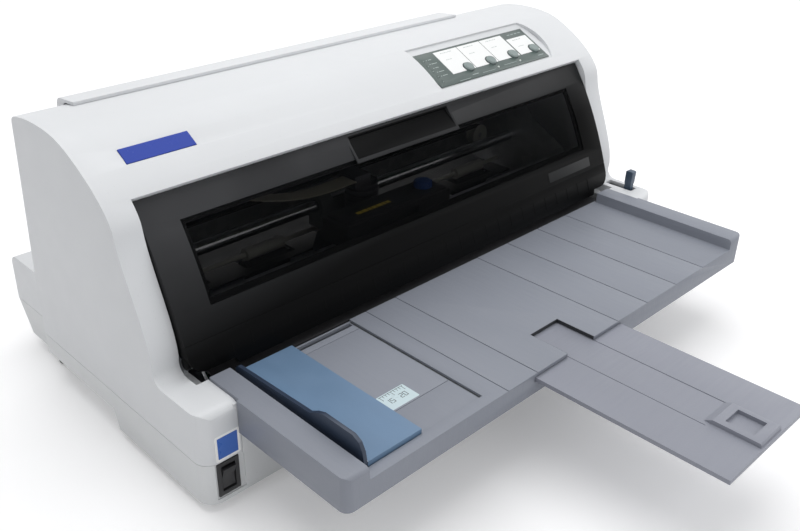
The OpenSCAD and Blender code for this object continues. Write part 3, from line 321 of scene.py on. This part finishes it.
def guidePlastic():
    # the slider's plate is light blue; the dark navy on its upright wall is painted shade
    slider = dict(plate=(0.13, 0.215, 0.335), wall=(0.022, 0.036, 0.066), wallX=-0.1902, wallZ=0.0707,
                  change=0.0003, rubShade=1.12, roughness=0.42, gloss=(0.38, 0.5), grain=1400, depth=0.00004)
    mat, tree, shader = startMaterial("guidePlastic", slider["plate"], slider["roughness"])
    # painted shade: above the plate and on the outer face the colour turns dark navy
    high = spread(tree, objectPlace(tree), 0, 1, slider["wallZ"], slider["wallZ"] + slider["change"])
    high = combine(tree, "MAXIMUM", high, combine(tree, "LESS_THAN", objectPlace(tree, "X"), slider["wallX"]))
    rubs = spread(tree, objectNoise(tree, 30, 4, (1, 0.3, 1)), 0, 1, 0.45, 0.75)
    rubbed = mixColour(tree, rubs, slider["plate"], shade(slider["plate"], slider["rubShade"]))
    tree.links.new(mixColour(tree, high, rubbed, slider["wall"]), shader.inputs["Base Color"])
    tree.links.new(spread(tree, objectNoise(tree, 60, 4), *slider["gloss"]), shader.inputs["Roughness"])
    addBump(tree, shader, objectNoise(tree, slider["grain"], 3), slider["depth"])
    return mat


boardPrint = {"traceScale": 14, "traceReach": (0.55, 0.58), "traceShare": 0.75, "padScale": 330,
              "padReach": (0.16, 0.20), "padDepth": 0.00006, "roughness": 0.32, "gloss": (0.28, 0.42)}


def circuitBoard(name, board, trace, pad):
    # solder mask with fine traces both ways and scattered pads
    mat, tree, shader = startMaterial(name, board, boardPrint["roughness"])
    paint = board
    for stretch in ((1, 30, 1), (30, 1, 1)):
        stripes = objectNoise(tree, boardPrint["traceScale"], 1, stretch)
        stripes = spread(tree, stripes, 0, boardPrint["traceShare"], *boardPrint["traceReach"])
        paint = mixColour(tree, stripes, paint, trace)
    pads = spread(tree, objectCells(tree, boardPrint["padScale"]), 1, 0, *boardPrint["padReach"])
    tree.links.new(mixColour(tree, pads, paint, pad), shader.inputs["Base Color"])
    tree.links.new(spread(tree, objectNoise(tree, 50, 3), *boardPrint["gloss"]), shader.inputs["Roughness"])
    addBump(tree, shader, pads, boardPrint["padDepth"])
    return mat


def lampPlastic():
    # the lamps of the left column are unlit and dimmer
    lamp = dict(dim=(0.20, 0.25, 0.24), bright=(0.80, 0.86, 0.82), cloud=(0.5, 0.52, 0.5), columnX=0.100,
                roughness=0.25, gloss=(0.2, 0.3), grain=900, depth=0.00001)
    mat, tree, shader = startMaterial("lampPlastic", lamp["bright"], lamp["roughness"])
    right = combine(tree, "GREATER_THAN", objectPlace(tree, "X"), lamp["columnX"])
    paint = mixColour(tree, right, lamp["dim"], lamp["bright"])
    cloud = mixColour(tree, spread(tree, objectNoise(tree, 240, 2), 0, 0.25), paint, lamp["cloud"])
    tree.links.new(cloud, shader.inputs["Base Color"])
    tree.links.new(spread(tree, objectNoise(tree, 60, 3), *lamp["gloss"]), shader.inputs["Roughness"])
    addBump(tree, shader, objectNoise(tree, lamp["grain"], 2), lamp["depth"])
    return mat


made["smokedWindow"] = smokedPlastic()
made["coverShell"] = coverPlastic()
made["guidePlastic"] = guidePlastic()
made["lampPlastic"] = lampPlastic()
boards = {
    "boardGreen": dict(board=(0.018, 0.10, 0.045), trace=(0.03, 0.17, 0.07), pad=(0.50, 0.50, 0.46)),
    "boardBrown": dict(board=(0.20, 0.12, 0.04), trace=(0.26, 0.17, 0.07), pad=(0.50, 0.48, 0.42)),
}
made.update({name: circuitBoard(name, **values) for name, values in boards.items()})

# Which finish each node takes, and the record's own name for it
nodeFinish = {
    "caseShell": ("case_plastic", ["upper_case", "rear_cover"]),
    "baseShell": ("base_plastic", ["lower_case", "tractor_cover"]),
    "coverShell": ("cover_plastic", ["front_cover"]),
    "smokedWindow": ("smoked_window", ["cover_window"]),
    "tableShell": ("table_plastic", ["front_table"]),
    "extensionShell": ("table_plastic", ["table_extension"]),
    "guidePlastic": ("guide_plastic", ["edge_guide"]),
    "panelFilm": ("panel_film", ["panel_overlay"]),
    "buttonCap": ("button_plastic", ["button_1", "button_2", "button_3", "button_4"]),
    "badgeFilm": ("badge_film", ["badge_plate"]),
    "blackShell": ("black_plastic", ["power_switch", "switch_rocker", "power_inlet", "front_paper_guide",
                                     "rear_paper_guide", "ribbon_cartridge"]),
    "greyShell": ("black_plastic", ["carriage", "left_tractor", "right_tractor"]),
    "leverGrip": ("lever_plastic", ["thickness_lever"]),
    "footRubber": ("foot_rubber", ["rubber_feet"]),
    "zincSheet": ("zinc_steel", ["base_plate", "left_frame", "right_frame", "rear_beam", "front_beam",
                                 "interface_ports"]),
    "groundRod": ("bright_steel", ["carriage_rod", "tractor_shaft"]),
    "screwSteel": ("screw_steel", ["case_screws"]),
    "rollerRubber": ("roller_rubber", ["platen", "front_roller", "rear_roller"]),
    "boardGreen": ("board_green", ["main_board", "panel_board"]),
    "boardBrown": ("board_brown", ["power_board"]),
    "gearPlastic": ("gear_plastic", ["front_pinch", "rear_pinch", "front_idler_gear", "rear_idler_gear",
                                     "feed_idler_gear", "drive_pulley", "idler_pulley", "left_sprocket",
                                     "right_sprocket"]),
    "lampPlastic": ("light_plastic", ["panel_lights"]),
    "motorPaint": ("motor_metal", ["feed_motor", "carriage_motor"]),
    "pinionBrass": ("pinion_brass", ["feed_pinion"]),
    "headCasting": ("head_metal", ["print_head"]),
    "ribbonCloth": ("ribbon_cloth", ["ribbon"]),
    "cablePlastic": ("cable_plastic", ["head_cable"]),
    "beltRubber": ("belt_rubber", ["carriage_belt", "tractor_belt"]),
    "knobPlastic": ("knob_plastic", ["ribbon_knob"]),
}
slotOf = {name: slot for name, (slot, covered) in nodeFinish.items()}
slotOf.update({"rulerFilm": "panel_film", "paleInk": "panel_film", "greyInk": "panel_film"})


smoothAngle = 29  # degrees; edges sharper than this stay crisp


def smoothByAngle():
    # faces are smooth, and edges sharper than the angle stay crisp
    group = bpy.data.node_groups.new("smoothByAngle", "GeometryNodeTree")
    group.interface.new_socket("Geometry", in_out="INPUT", socket_type="NodeSocketGeometry")
    group.interface.new_socket("Geometry", in_out="OUTPUT", socket_type="NodeSocketGeometry")
    entry = group.nodes.new("NodeGroupInput")
    leave = group.nodes.new("NodeGroupOutput")
    faces = group.nodes.new("GeometryNodeSetShadeSmooth")
    faces.domain = "FACE"
    faces.inputs["Shade Smooth"].default_value = True
    edges = group.nodes.new("GeometryNodeSetShadeSmooth")
    edges.domain = "EDGE"
    edges.inputs["Shade Smooth"].default_value = False
    angle = group.nodes.new("GeometryNodeInputMeshEdgeAngle")
    sharp = group.nodes.new("FunctionNodeCompare")
    sharp.data_type = "FLOAT"
    sharp.operation = "GREATER_THAN"
    sharp.inputs["B"].default_value = math.radians(smoothAngle)
    group.links.new(angle.outputs["Unsigned Angle"], sharp.inputs["A"])
    group.links.new(sharp.outputs["Result"], edges.inputs["Selection"])
    group.links.new(entry.outputs[0], faces.inputs["Geometry"])
    group.links.new(faces.outputs["Geometry"], edges.inputs["Geometry"])
    group.links.new(edges.outputs["Geometry"], leave.inputs[0])
    return group


smoothing = smoothByAngle()
softAngle = 38  # degrees; edges sharper than this are rounded
joinDistance = 0.000005  # corners closer than this are joined
edgeRounding = {
    "rear_cover": 0.0007, "lower_case": 0.0008, "table_extension": 0.0006, "edge_guide": 0.0006,
    "thickness_lever": 0.0006, "tractor_cover": 0.0005, "power_switch": 0.0003, "switch_rocker": 0.0003,
    "power_inlet": 0.0004, "interface_ports": 0.0003, "badge_plate": 0.0002, "ribbon_cartridge": 0.0005,
    "carriage": 0.0003, "print_head": 0.0003, "left_tractor": 0.0004, "right_tractor": 0.0004,
    "rubber_feet": 0.0004, "ribbon_knob": 0.0003, "panel_overlay": 0.0001,
}


def softenEdges(piece, width, byWeight=False, segments=2):
    bevel = piece.modifiers.new("softEdge", "BEVEL")
    bevel.width = width
    bevel.segments = segments
    bevel.limit_method = "WEIGHT" if byWeight else "ANGLE"
    bevel.angle_limit = math.radians(softAngle)
    bevel.use_clamp_overlap = True


def smoothFaces(piece):
    piece.modifiers.new("smoothFaces", "NODES").node_group = smoothing


def finishNode(piece, name, width):
    piece.data.materials.clear()
    piece.data.materials.append(made[name])
    weld = piece.modifiers.new("joinCorners", "WELD")
    weld.merge_threshold = joinDistance
    if width:
        softenEdges(piece, width)
    smoothFaces(piece)


for name, (slot, covered) in nodeFinish.items():
    for node in covered:
        finishNode(nodes[node], name, edgeRounding.get(node, 0))
leftOut = sorted(set(nodes) - {n for slot, covered in nodeFinish.values() for n in covered})
print("finishes on the nodes, without one:", leftOut)


# A finished mesh becomes an object of the scene
def makeObject(name, mesh, material):
    data = bpy.data.meshes.new(name)
    mesh.to_mesh(data)
    mesh.free()
    data.materials.append(material)
    piece = bpy.data.objects.new(name, data)
    bpy.context.scene.collection.objects.link(piece)
    return piece


# Shells with large rounded edges: a copy of the node takes its place
flatBend = 0.6  # degrees; flatter joins between faces are dissolved first


def roundedCopy(node, name, body, wide, width, small):
    # wide(a, b, bend) says which edges take the full width, between points in case millimetres
    source = nodes[node]
    mesh = bmesh.new()
    mesh.from_mesh(source.data)
    bmesh.ops.remove_doubles(mesh, verts=mesh.verts, dist=joinDistance)
    bmesh.ops.dissolve_limit(mesh, angle_limit=math.radians(flatBend), verts=mesh.verts, edges=mesh.edges)
    weights = mesh.edges.layers.float.new("bevel_weight_edge")
    count = 0
    for edge in mesh.edges:
        if len(edge.link_faces) != 2:
            continue
        bend = math.degrees(edge.calc_face_angle_signed(0))
        a, b = (v.co * 1000 - Vector((0, caseShift, 0)) for v in edge.verts)
        share = wide(a, b, bend)
        if share:
            edge[weights] = share
            count += 1
    piece = makeObject(name, mesh, source.data.materials[0])
    softenEdges(piece, width, byWeight=True, segments=5)
    softenEdges(piece, small)
    smoothFaces(piece)
    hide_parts(node)
    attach(piece, body)
    print(name, "rounds", count, "edges")


# Which edges are rounded: beyond side, above low and sharper than sharpBend, in degrees
sharpBend = 40
caseEdges = {"side": 239.9, "low": 38.5, "width": 0.0045, "small": 0.0008, "rim": 0.22, "rimX": (50, 205),
             "rimUp": (0.6, 8)}
coverEdges = {"side": 219.9, "low": 90, "width": 0.0012, "small": 0.0005}
tableEdges = {"side": 213.9, "low": 60, "width": 0.0022, "small": 0.0007}


def isOuterEdge(a, b, bend, limits):
    onSide = abs(a.x) > limits["side"] and abs(b.x) > limits["side"]
    return onSide and bend > sharpBend and min(a.z, b.z) > limits["low"]


def onPanelRim(spot):
    # above the sunk panel, near the pocket's upper edge
    dy, dz = spot.y - panelFoot.x, spot.z - panelFoot.y
    up = dz * math.cos(panelTilt) - dy * math.sin(panelTilt)
    return (caseEdges["rimX"][0] < spot.x < caseEdges["rimX"][1]
            and caseEdges["rimUp"][0] < up < caseEdges["rimUp"][1])


def caseShare(a, b, bend):
    # full width on the curved outline of both side walls, and a little on the panel pocket's rim
    if isOuterEdge(a, b, bend, caseEdges):
        return 1.0
    onRim = min(a.z, b.z) >= caseEdges["low"] and bend >= sharpBend and onPanelRim(a) and onPanelRim(b)
    return caseEdges["rim"] if onRim else 0.0


def coverShare(a, b, bend):
    return 1.0 if isOuterEdge(a, b, bend, coverEdges) else 0.0


def tableShare(a, b, bend):
    return 1.0 if isOuterEdge(a, b, bend, tableEdges) else 0.0


for node, name, body, share, edges in (("upper_case", "case_shell", "case", caseShare, caseEdges),
                                       ("front_cover", "cover_shell", "front_cover", coverShare, coverEdges),
                                       ("front_table", "table_shell", "case", tableShare, tableEdges)):
    roundedCopy(node, name, body, share, edges["width"], edges["small"])
print("rounded shells are in place")


# Small pieces built from outlines
def addPrism(mesh, place, outline, low, high):
    under = [mesh.verts.new(place(a, b, low)) for a, b in outline]
    over = [mesh.verts.new(place(a, b, high)) for a, b in outline]
    mesh.faces.new(over)
    mesh.faces.new(list(reversed(under)))
    for i in range(len(outline)):
        j = (i + 1) % len(outline)
        mesh.faces.new((under[i], under[j], over[j], over[i]))


def rectangle(a0, a1, b0, b1):
    return [(a0, b0), (a1, b0), (a1, b1), (a0, b1)]


def roundedRectangle(a0, a1, b0, b1, r, steps=4):
    outline = []
    corners = ((a1 - r, b0 + r, -90), (a1 - r, b1 - r, 0), (a0 + r, b1 - r, 90), (a0 + r, b0 + r, 180))
    for cx, cy, start in corners:
        for i in range(steps + 1):
            turn = math.radians(start + 90 * i / steps)
            outline.append((cx + r * math.cos(turn), cy + r * math.sin(turn)))
    return outline


def addPiece(name, mesh, material, body, width=0):
    bmesh.ops.recalc_face_normals(mesh, faces=mesh.faces)
    piece = makeObject(name, mesh, made[material])
    if width:
        softenEdges(piece, width)
    smoothFaces(piece)
    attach(piece, body)


def printedMarks(name, place, outlines, low, high, material, body):
    mesh = bmesh.new()
    for outline in outlines:
        addPrism(mesh, place, outline, low, high)
    addPiece(name, mesh, material, body)


# Seven-bar digits, for the plain numbers on the ruler
digitBars = {
    "top": (0.0, 0.92, 1.0, 1.0), "middle": (0.0, 0.46, 1.0, 0.54), "bottom": (0.0, 0.0, 1.0, 0.08),
    "upperLeft": (0.0, 0.46, 0.16, 1.0), "upperRight": (0.84, 0.46, 1.0, 1.0),
    "lowerLeft": (0.0, 0.0, 0.16, 0.54), "lowerRight": (0.84, 0.0, 1.0, 0.54),
}
digitShape = {
    "0": ["top", "bottom", "upperLeft", "upperRight", "lowerLeft", "lowerRight"],
    "1": ["upperRight", "lowerRight"],
    "2": ["top", "middle", "bottom", "upperRight", "lowerLeft"],
    "5": ["top", "middle", "bottom", "upperLeft", "lowerRight"],
}


def digitOutlines(text, x, y, wide, tall, space):
    # one outline for each bar, and bars overlap at their corners
    outlines = []
    for i, sign in enumerate(text):
        for bar in digitShape[sign]:
            a0, b0, a1, b1 = digitBars[bar]
            left = x + i * (wide + space)
            outlines.append(rectangle(left + a0 * wide, left + a1 * wide, y + b0 * tall, y + b1 * tall))
    return outlines


# Control panel: four pale fields, each with a notch round its button
panelArt = {
    "fields": [(76.2, 103.6, 11.6, 38.0, 97), (104.2, 131.6, 11.6, 38.0, 124.5),
               (132.2, 159.6, 11.6, 38.0, 153), (161.2, 187.0, 11.6, 31.6, 181)],
    "buttonS": 14.5, "notch": 5.5, "notchSteps": 14, "low": 0.72, "high": 0.86,
}


def fieldOutline(x0, x1, s0, s1, buttonX):
    r = panelArt["notch"]
    steps = panelArt["notchSteps"]
    half = math.degrees(math.acos((panelArt["buttonS"] - s0) / r))
    bite = []
    for i in range(steps + 1):
        turn = math.radians(-90 - half - (360 - 2 * half) * i / steps)
        bite.append((buttonX + r * math.cos(turn), panelArt["buttonS"] + r * math.sin(turn)))
    return [(x0, s0)] + bite + [(x1, s0), (x1, s1), (x0, s1)]


printedMarks("panel_fields", onPanel, [fieldOutline(*field) for field in panelArt["fields"]],
             panelArt["low"], panelArt["high"], "paleInk", "case")

panelRules = {
    "rows": 5, "firstRow": 13.2, "rowStep": 4.75, "dot": (63.2, 64.4), "dotHalf": 0.3,
    "dash": (65.6, 69.4), "dashHalf": 0.32, "longer": (-0.8, 2.2),
    "underButtons": [(76, 89, 3.1, 3.45), (105, 121, 4.6, 4.95), (133, 149, 6.0, 6.35),
                     (93.5, 100.5, 5.4, 6.1), (178, 185, 5.6, 6.3)],
    "header": {"x": 167, "wide": 3.4, "step": 4.8, "count": 4, "s": (35.6, 36.4)},
    "low": 0.72, "high": 0.85,
}


def panelLines():
    # rows beside the lamps on the left, short rules under the buttons, and a row over the last field
    marks = []
    for row in range(panelRules["rows"]):
        s = panelRules["firstRow"] + panelRules["rowStep"] * row
        left, right = panelRules["dot"]
        marks.append(rectangle(left, right, s - panelRules["dotHalf"], s + panelRules["dotHalf"]))
        left, right = panelRules["dash"]
        right += rng.uniform(*panelRules["longer"])
        marks.append(rectangle(left, right, s - panelRules["dashHalf"], s + panelRules["dashHalf"]))
    marks += [rectangle(*rule) for rule in panelRules["underButtons"]]
    header = panelRules["header"]
    for i in range(header["count"]):
        left = header["x"] + header["step"] * i
        marks.append(rectangle(left, left + header["wide"], *header["s"]))
    return marks


printedMarks("panel_marks", onPanel, panelLines(), panelRules["low"], panelRules["high"], "greyInk", "case")

# each row lies this far under the field's upper edge and runs over this share of its width
fieldMarks = {"rows": [(2.6, 0.52), (10.5, 0.34)], "inset": 3.4, "start": 0.10, "length": (1.1, 2.2),
              "half": 0.22, "gap": 0.6, "low": 0.78, "high": 0.90}


def fieldDashes():
    # faint rows of plain dashes in the pale fields
    marks = []
    for x0, x1, s0, s1, buttonX in panelArt["fields"]:
        for down, reach in fieldMarks["rows"]:
            row = s1 - down
            x = x0 + fieldMarks["inset"] + fieldMarks["start"] * (x1 - x0)
            while x < x0 + fieldMarks["inset"] + reach * (x1 - x0):
                step = rng.uniform(*fieldMarks["length"])
                marks.append(rectangle(x, x + step, row - fieldMarks["half"], row + fieldMarks["half"]))
                x += step + fieldMarks["gap"]
    return marks


printedMarks("panel_dashes", onPanel, fieldDashes(), fieldMarks["low"], fieldMarks["high"], "greyInk", "case")
print("control panel is dressed")

# Front cover: a bare plate at the lower right and fine upright ribs along the bottom
coverTrim = {"plateX": (141, 199), "plateZ": (97.6, 105.2), "plateLift": 0.25, "ribZ": (78.5, 88.5),
             "ribX": -204, "ribStep": 15.2, "ribCount": 27, "ribWide": 0.9, "ribLift": 0.12, "sunk": 0.4,
             "round": 0.0001, "apart": 0.5}


def alongCover(name, spans, z0, z1, lift, material):
    # strips that follow the curve of the cover between two heights
    apart = coverTrim["apart"]
    heights = [z0] + [p.y for p in coverLine if z0 + apart < p.y < z1 - apart] + [z1]
    mesh = bmesh.new()
    for x0, x1 in spans:
        rings = []
        section = ((x0, -coverTrim["sunk"]), (x1, -coverTrim["sunk"]), (x1, lift), (x0, lift))
        for z in heights:
            rings.append([mesh.verts.new(onCover(x, z, up)) for x, up in section])
        mesh.faces.new(rings[0])
        mesh.faces.new(list(reversed(rings[-1])))
        for low, high in zip(rings, rings[1:]):
            for i in range(4):
                j = (i + 1) % 4
                mesh.faces.new((low[i], high[i], high[j], low[j]))
    addPiece(name, mesh, material, "front_cover", coverTrim["round"])


alongCover("cover_plate", [coverTrim["plateX"]], *coverTrim["plateZ"], coverTrim["plateLift"], "coverTrim")
ribStarts = [coverTrim["ribX"] + coverTrim["ribStep"] * i for i in range(coverTrim["ribCount"])]
ribs = [(start, start + coverTrim["ribWide"]) for start in ribStarts]
alongCover("cover_ribs", ribs, *coverTrim["ribZ"], coverTrim["ribLift"], "coverShell")
print("cover trim is in place")

# Table: ruler label, painted shade strips in the gaps and a painted highlight line on the slider
recessZ = 66.0  # floor of the table's recess
ruler = {"x": (-144.5, -121.5), "y": (-179.0, -163.5), "round": 0.8, "low": -0.1, "high": 0.08,
         "tickX": 2.2, "tickStep": 2.3, "tickCount": 9, "tickWide": 0.28, "tickTop": 1.0, "longTick": 5.2,
         "shortTick": 3.2, "longEvery": 4, "lineInset": 1.2, "lineTop": 0.9, "inkLow": 0.02, "inkHigh": 0.13,
         "numbers": [("15", 2.6), ("20", 13.2)], "numberY": 5.2, "digitTall": 4.2, "digitWide": 2.4,
         "digitSpace": 0.8}


def makeRuler():
    x0, x1 = ruler["x"]
    y0, y1 = ruler["y"]
    printedMarks("ruler_label", onCase, [roundedRectangle(x0, x1, y0, y1, ruler["round"])],
                 recessZ + ruler["low"], recessZ + ruler["high"], "rulerFilm", "case")
    ticks = []
    for i in range(ruler["tickCount"]):
        x = x0 + ruler["tickX"] + i * ruler["tickStep"]
        reach = ruler["longTick"] if i % ruler["longEvery"] == 0 else ruler["shortTick"]
        ticks.append(rectangle(x, x + ruler["tickWide"], y1 - reach, y1 - ruler["tickTop"]))
    inset = ruler["lineInset"]
    ticks.append(rectangle(x0 + inset, x1 - inset, y1 - inset, y1 - ruler["lineTop"]))
    for text, x in ruler["numbers"]:
        ticks += digitOutlines(text, x0 + x, y0 + ruler["numberY"], ruler["digitWide"], ruler["digitTall"],
                               ruler["digitSpace"])
    printedMarks("ruler_ticks", onCase, ticks, recessZ + ruler["inkLow"], recessZ + ruler["inkHigh"],
                 "darkInk", "case")


makeRuler()
# painted shade: dark strips along the recess step and along the slider's front edge
tableShadeStrips = {"spans": [(-97.3, -96.05, -206.6, -87.5), (-190, -97.3, -206.9, -206.2)], "low": -0.1,
             "high": 0.06}
printedMarks("table_shade_strips", onCase, [rectangle(*span) for span in tableShadeStrips["spans"]],
             recessZ + tableShadeStrips["low"], recessZ + tableShadeStrips["high"], "darkInk", "case")

notch = {"x": (-19.7, 9.7), "y": (-214.5, -184.3), "z": (64.9, 67.35), "thick": 0.28}


def notchShadeStrips():
    # painted shade: thin dark strips on the three walls of the notch
    x0, x1 = notch["x"]
    y0, y1 = notch["y"]
    thick = notch["thick"]
    strips = [rectangle(x0 - thick, x0, y0, y1), rectangle(x1, x1 + thick, y0, y1),
              rectangle(x0, x1, y1, y1 + thick)]
    printedMarks("notch_shade_strips", onCase, strips, *notch["z"], "darkInk", "case")


notchShadeStrips()
# painted highlight: a pale line along the top edge of the slider's wall
guideHighlight = {"x": (-190.3, -189.8), "y": (-206, -88), "z": (70.4, 70.62)}
printedMarks("guide_highlight", onCase, [rectangle(*guideHighlight["x"], *guideHighlight["y"])], *guideHighlight["z"], "paleInk",
             "edge_guide")
print("table details are in place")

# Plain sticker on the front of the left block: a blue field in a white border, nothing printed on it
blockFront = -118.0  # y of the left block's front face
sticker = {"x": (-231.4, -213.8), "z": (38.2, 56.8), "border": 1.6, "low": -0.15, "high": 0.10, "round": 1.0,
           "fieldRound": 0.5, "fieldHalf": 0.05}


def onBlockFront(x, z, up):
    return onCase(x, blockFront - up, z)


def makeSticker():
    x0, x1 = sticker["x"]
    z0, z1 = sticker["z"]
    edge = sticker["border"]
    half = sticker["fieldHalf"]
    border = roundedRectangle(x0, x1, z0, z1, sticker["round"])
    field = roundedRectangle(x0 + edge, x1 - edge, z0 + edge, z1 - edge, sticker["fieldRound"])
    printedMarks("side_sticker", onBlockFront, [border], sticker["low"], sticker["high"], "labelPaper",
                 "case")
    printedMarks("side_sticker_field", onBlockFront, [field], sticker["high"] - half, sticker["high"] + half,
                 "blueInk", "case")


makeSticker()
print("sticker is in place")

# Ribbon cartridge: a yellow strip in short lengths along its top
cartridgeStrip = {"x": (-41.0, -10.0), "y": (-35.2, -31.6), "z": (112.7, 112.9), "length": (2.4, 5.2),
                  "gap": 0.8}


def makeCartridgeStrip():
    marks = []
    x, end = cartridgeStrip["x"]
    while x < end:
        step = rng.uniform(*cartridgeStrip["length"])
        marks.append(rectangle(x, x + step, *cartridgeStrip["y"]))
        x += step + cartridgeStrip["gap"]
    printedMarks("cartridge_strip", onCase, marks, *cartridgeStrip["z"], "yellowInk", "carriage")


makeCartridgeStrip()

# Flat cable: a ribbed strip in one fixed curve between the fixed arm and the moving carriage
flatCable = {"wide": 16.0, "thick": 0.5, "ribs": 12, "ribSteps": 4, "ribHigh": 0.14, "y": 2.0, "steps": 7,
             "line": [(-23.3, 127), (-48, 126.6), (-72, 128.5), (-96, 133.5), (-124, 142.5), (-142, 152),
                      (-144, 161), (-133, 167), (-100, 168.2), (-50, 167.7), (20, 167.7)]}


def smoothLine(points, steps):
    # a curve through every point, with the corners eased
    line = []
    for i in range(len(points) - 1):
        p0, p1, p2, p3 = (Vector(points[max(0, min(len(points) - 1, k))]) for k in (i - 1, i, i + 1, i + 2))
        for j in range(steps):
            t = j / steps
            line.append(0.5 * (2 * p1 + (p2 - p0) * t + (2 * p0 - 5 * p1 + 4 * p2 - p3) * t * t
                               + (3 * p1 - p0 - 3 * p2 + p3) * t ** 3))
    return line + [Vector(points[-1])]


def makeFlatCable():
    line = smoothLine(flatCable["line"], flatCable["steps"])
    across = flatCable["ribs"] * flatCable["ribSteps"]
    mesh = bmesh.new()
    rings = []
    for i, spot in enumerate(line):
        along = (line[min(i + 1, len(line) - 1)] - line[max(i - 1, 0)]).normalized()
        out = Vector((-along.y, along.x))
        ring = []
        for side in (1, -1):
            for j in range(across + 1):
                share = j / across if side > 0 else 1 - j / across
                swell = flatCable["ribHigh"] * abs(math.sin(math.pi * share * flatCable["ribs"]))
                depth = out * side * (flatCable["thick"] / 2 - flatCable["ribHigh"] / 2 + swell / 2)
                y = flatCable["y"] - share * flatCable["wide"]
                ring.append(mesh.verts.new(onCase((spot + depth).x, y, (spot + depth).y)))
        rings.append(ring)
    for low, high in zip(rings, rings[1:]):
        for i in range(len(low)):
            j = (i + 1) % len(low)
            mesh.faces.new((low[i], high[i], high[j], low[j]))
    mesh.faces.new(rings[0])
    mesh.faces.new(list(reversed(rings[-1])))
    bmesh.ops.recalc_face_normals(mesh, faces=mesh.faces)
    piece = makeObject("flat_cable", mesh, made["cablePlastic"])
    smoothFaces(piece)
    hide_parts("head_cable")
    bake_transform(piece)


makeFlatCable()
print("carriage details are in place")

# Studio: a plain pale floor, even sky and three soft boxes
studio = {"floorSize": 12.0, "floorColour": (0.90, 0.90, 0.91), "floorRoughness": 0.75, "glowNear": 0.20,
          "glowFar": 0.58, "glowReach": (0.7, 3.0), "skyStrength": 0.48}


def seenFlag(tree):
    # 1 where the camera, a reflection or a clear surface sees it
    path = tree.nodes.new("ShaderNodeLightPath")
    total = path.outputs["Is Camera Ray"]
    for other in ("Is Glossy Ray", "Is Transmission Ray"):
        total = combine(tree, "MAXIMUM", total, path.outputs[other])
    return total


def makeStudio():
    bpy.ops.mesh.primitive_plane_add(size=studio["floorSize"], location=(0, 0, 0))
    floor = bpy.context.object
    floor.name = "floor"
    mat, tree, shader = startMaterial("paleFloor", studio["floorColour"], studio["floorRoughness"])
    shader.inputs["Emission Color"].default_value = (1, 1, 1, 1)
    coords = tree.nodes.new("ShaderNodeTexCoord")
    away = tree.nodes.new("ShaderNodeVectorMath")
    away.operation = "LENGTH"
    tree.links.new(coords.outputs["Object"], away.inputs[0])
    glow = spread(tree, away.outputs["Value"], studio["glowNear"], studio["glowFar"], *studio["glowReach"])
    tree.links.new(combine(tree, "MULTIPLY", seenFlag(tree), glow), shader.inputs["Emission Strength"])
    floor.data.materials.append(mat)
    world = bpy.data.worlds.new("studioSky")
    bpy.context.scene.world = world
    world.use_nodes = True
    tree = world.node_tree
    sky = tree.nodes["Background"]
    sky.inputs["Color"].default_value = (1, 1, 1, 1)
    tree.links.new(spread(tree, seenFlag(tree), studio["skyStrength"], 1.0, 0, 1), sky.inputs["Strength"])


softBoxes = [
    dict(name="overheadBox", place=(0.1, 0.35, 1.7), aim=(0, 0, 0.1), size=1.8, power=18.5),
    dict(name="frontBox", place=(0.1, -1.7, 1.3), aim=(0, 0, 0.1), size=1.4, power=6),
    dict(name="rightBox", place=(1.6, -0.3, 0.9), aim=(0, 0, 0.1), size=1.2, power=5),
]


def makeLights():
    for box in softBoxes:
        light = bpy.data.lights.new(box["name"], "AREA")
        light.size = box["size"]
        light.energy = box["power"]
        lamp = bpy.data.objects.new(box["name"], light)
        bpy.context.scene.collection.objects.link(lamp)
        lamp.location = box["place"]
        lamp.rotation_euler = (Vector(box["aim"]) - Vector(box["place"])).to_track_quat("-Z", "Y").to_euler()


viewPoint = {"place": (-0.4479, -0.3889, 0.3959), "heading": 43.62, "down": 28.87, "roll": 0.27,
             "lens": 40.47, "sensor": 36, "shift": (0.026, 0.0118), "nearest": 0.01}


def makeCamera():
    heading, down, roll = (math.radians(viewPoint[k]) for k in ("heading", "down", "roll"))
    ahead = Vector((math.sin(heading) * math.cos(down), math.cos(heading) * math.cos(down), -math.sin(down)))
    right = Vector((math.cos(heading), -math.sin(heading), 0))
    above = right.cross(ahead)
    tiltedRight = right * math.cos(roll) + above * math.sin(roll)
    tiltedAbove = above * math.cos(roll) - right * math.sin(roll)
    data = bpy.data.cameras.new("viewCamera")
    data.sensor_width = viewPoint["sensor"]
    data.lens = viewPoint["lens"]
    data.shift_x, data.shift_y = viewPoint["shift"]
    data.clip_start = viewPoint["nearest"]
    camera = bpy.data.objects.new("viewCamera", data)
    bpy.context.scene.collection.objects.link(camera)
    turn = Matrix((tiltedRight, tiltedAbove, -ahead)).transposed().to_4x4()
    camera.matrix_world = Matrix.Translation(viewPoint["place"]) @ turn
    bpy.context.scene.camera = camera


makeStudio()
makeLights()
makeCamera()
bpy.context.scene.view_settings.view_transform = "Standard"
print("studio, lights and camera are set")
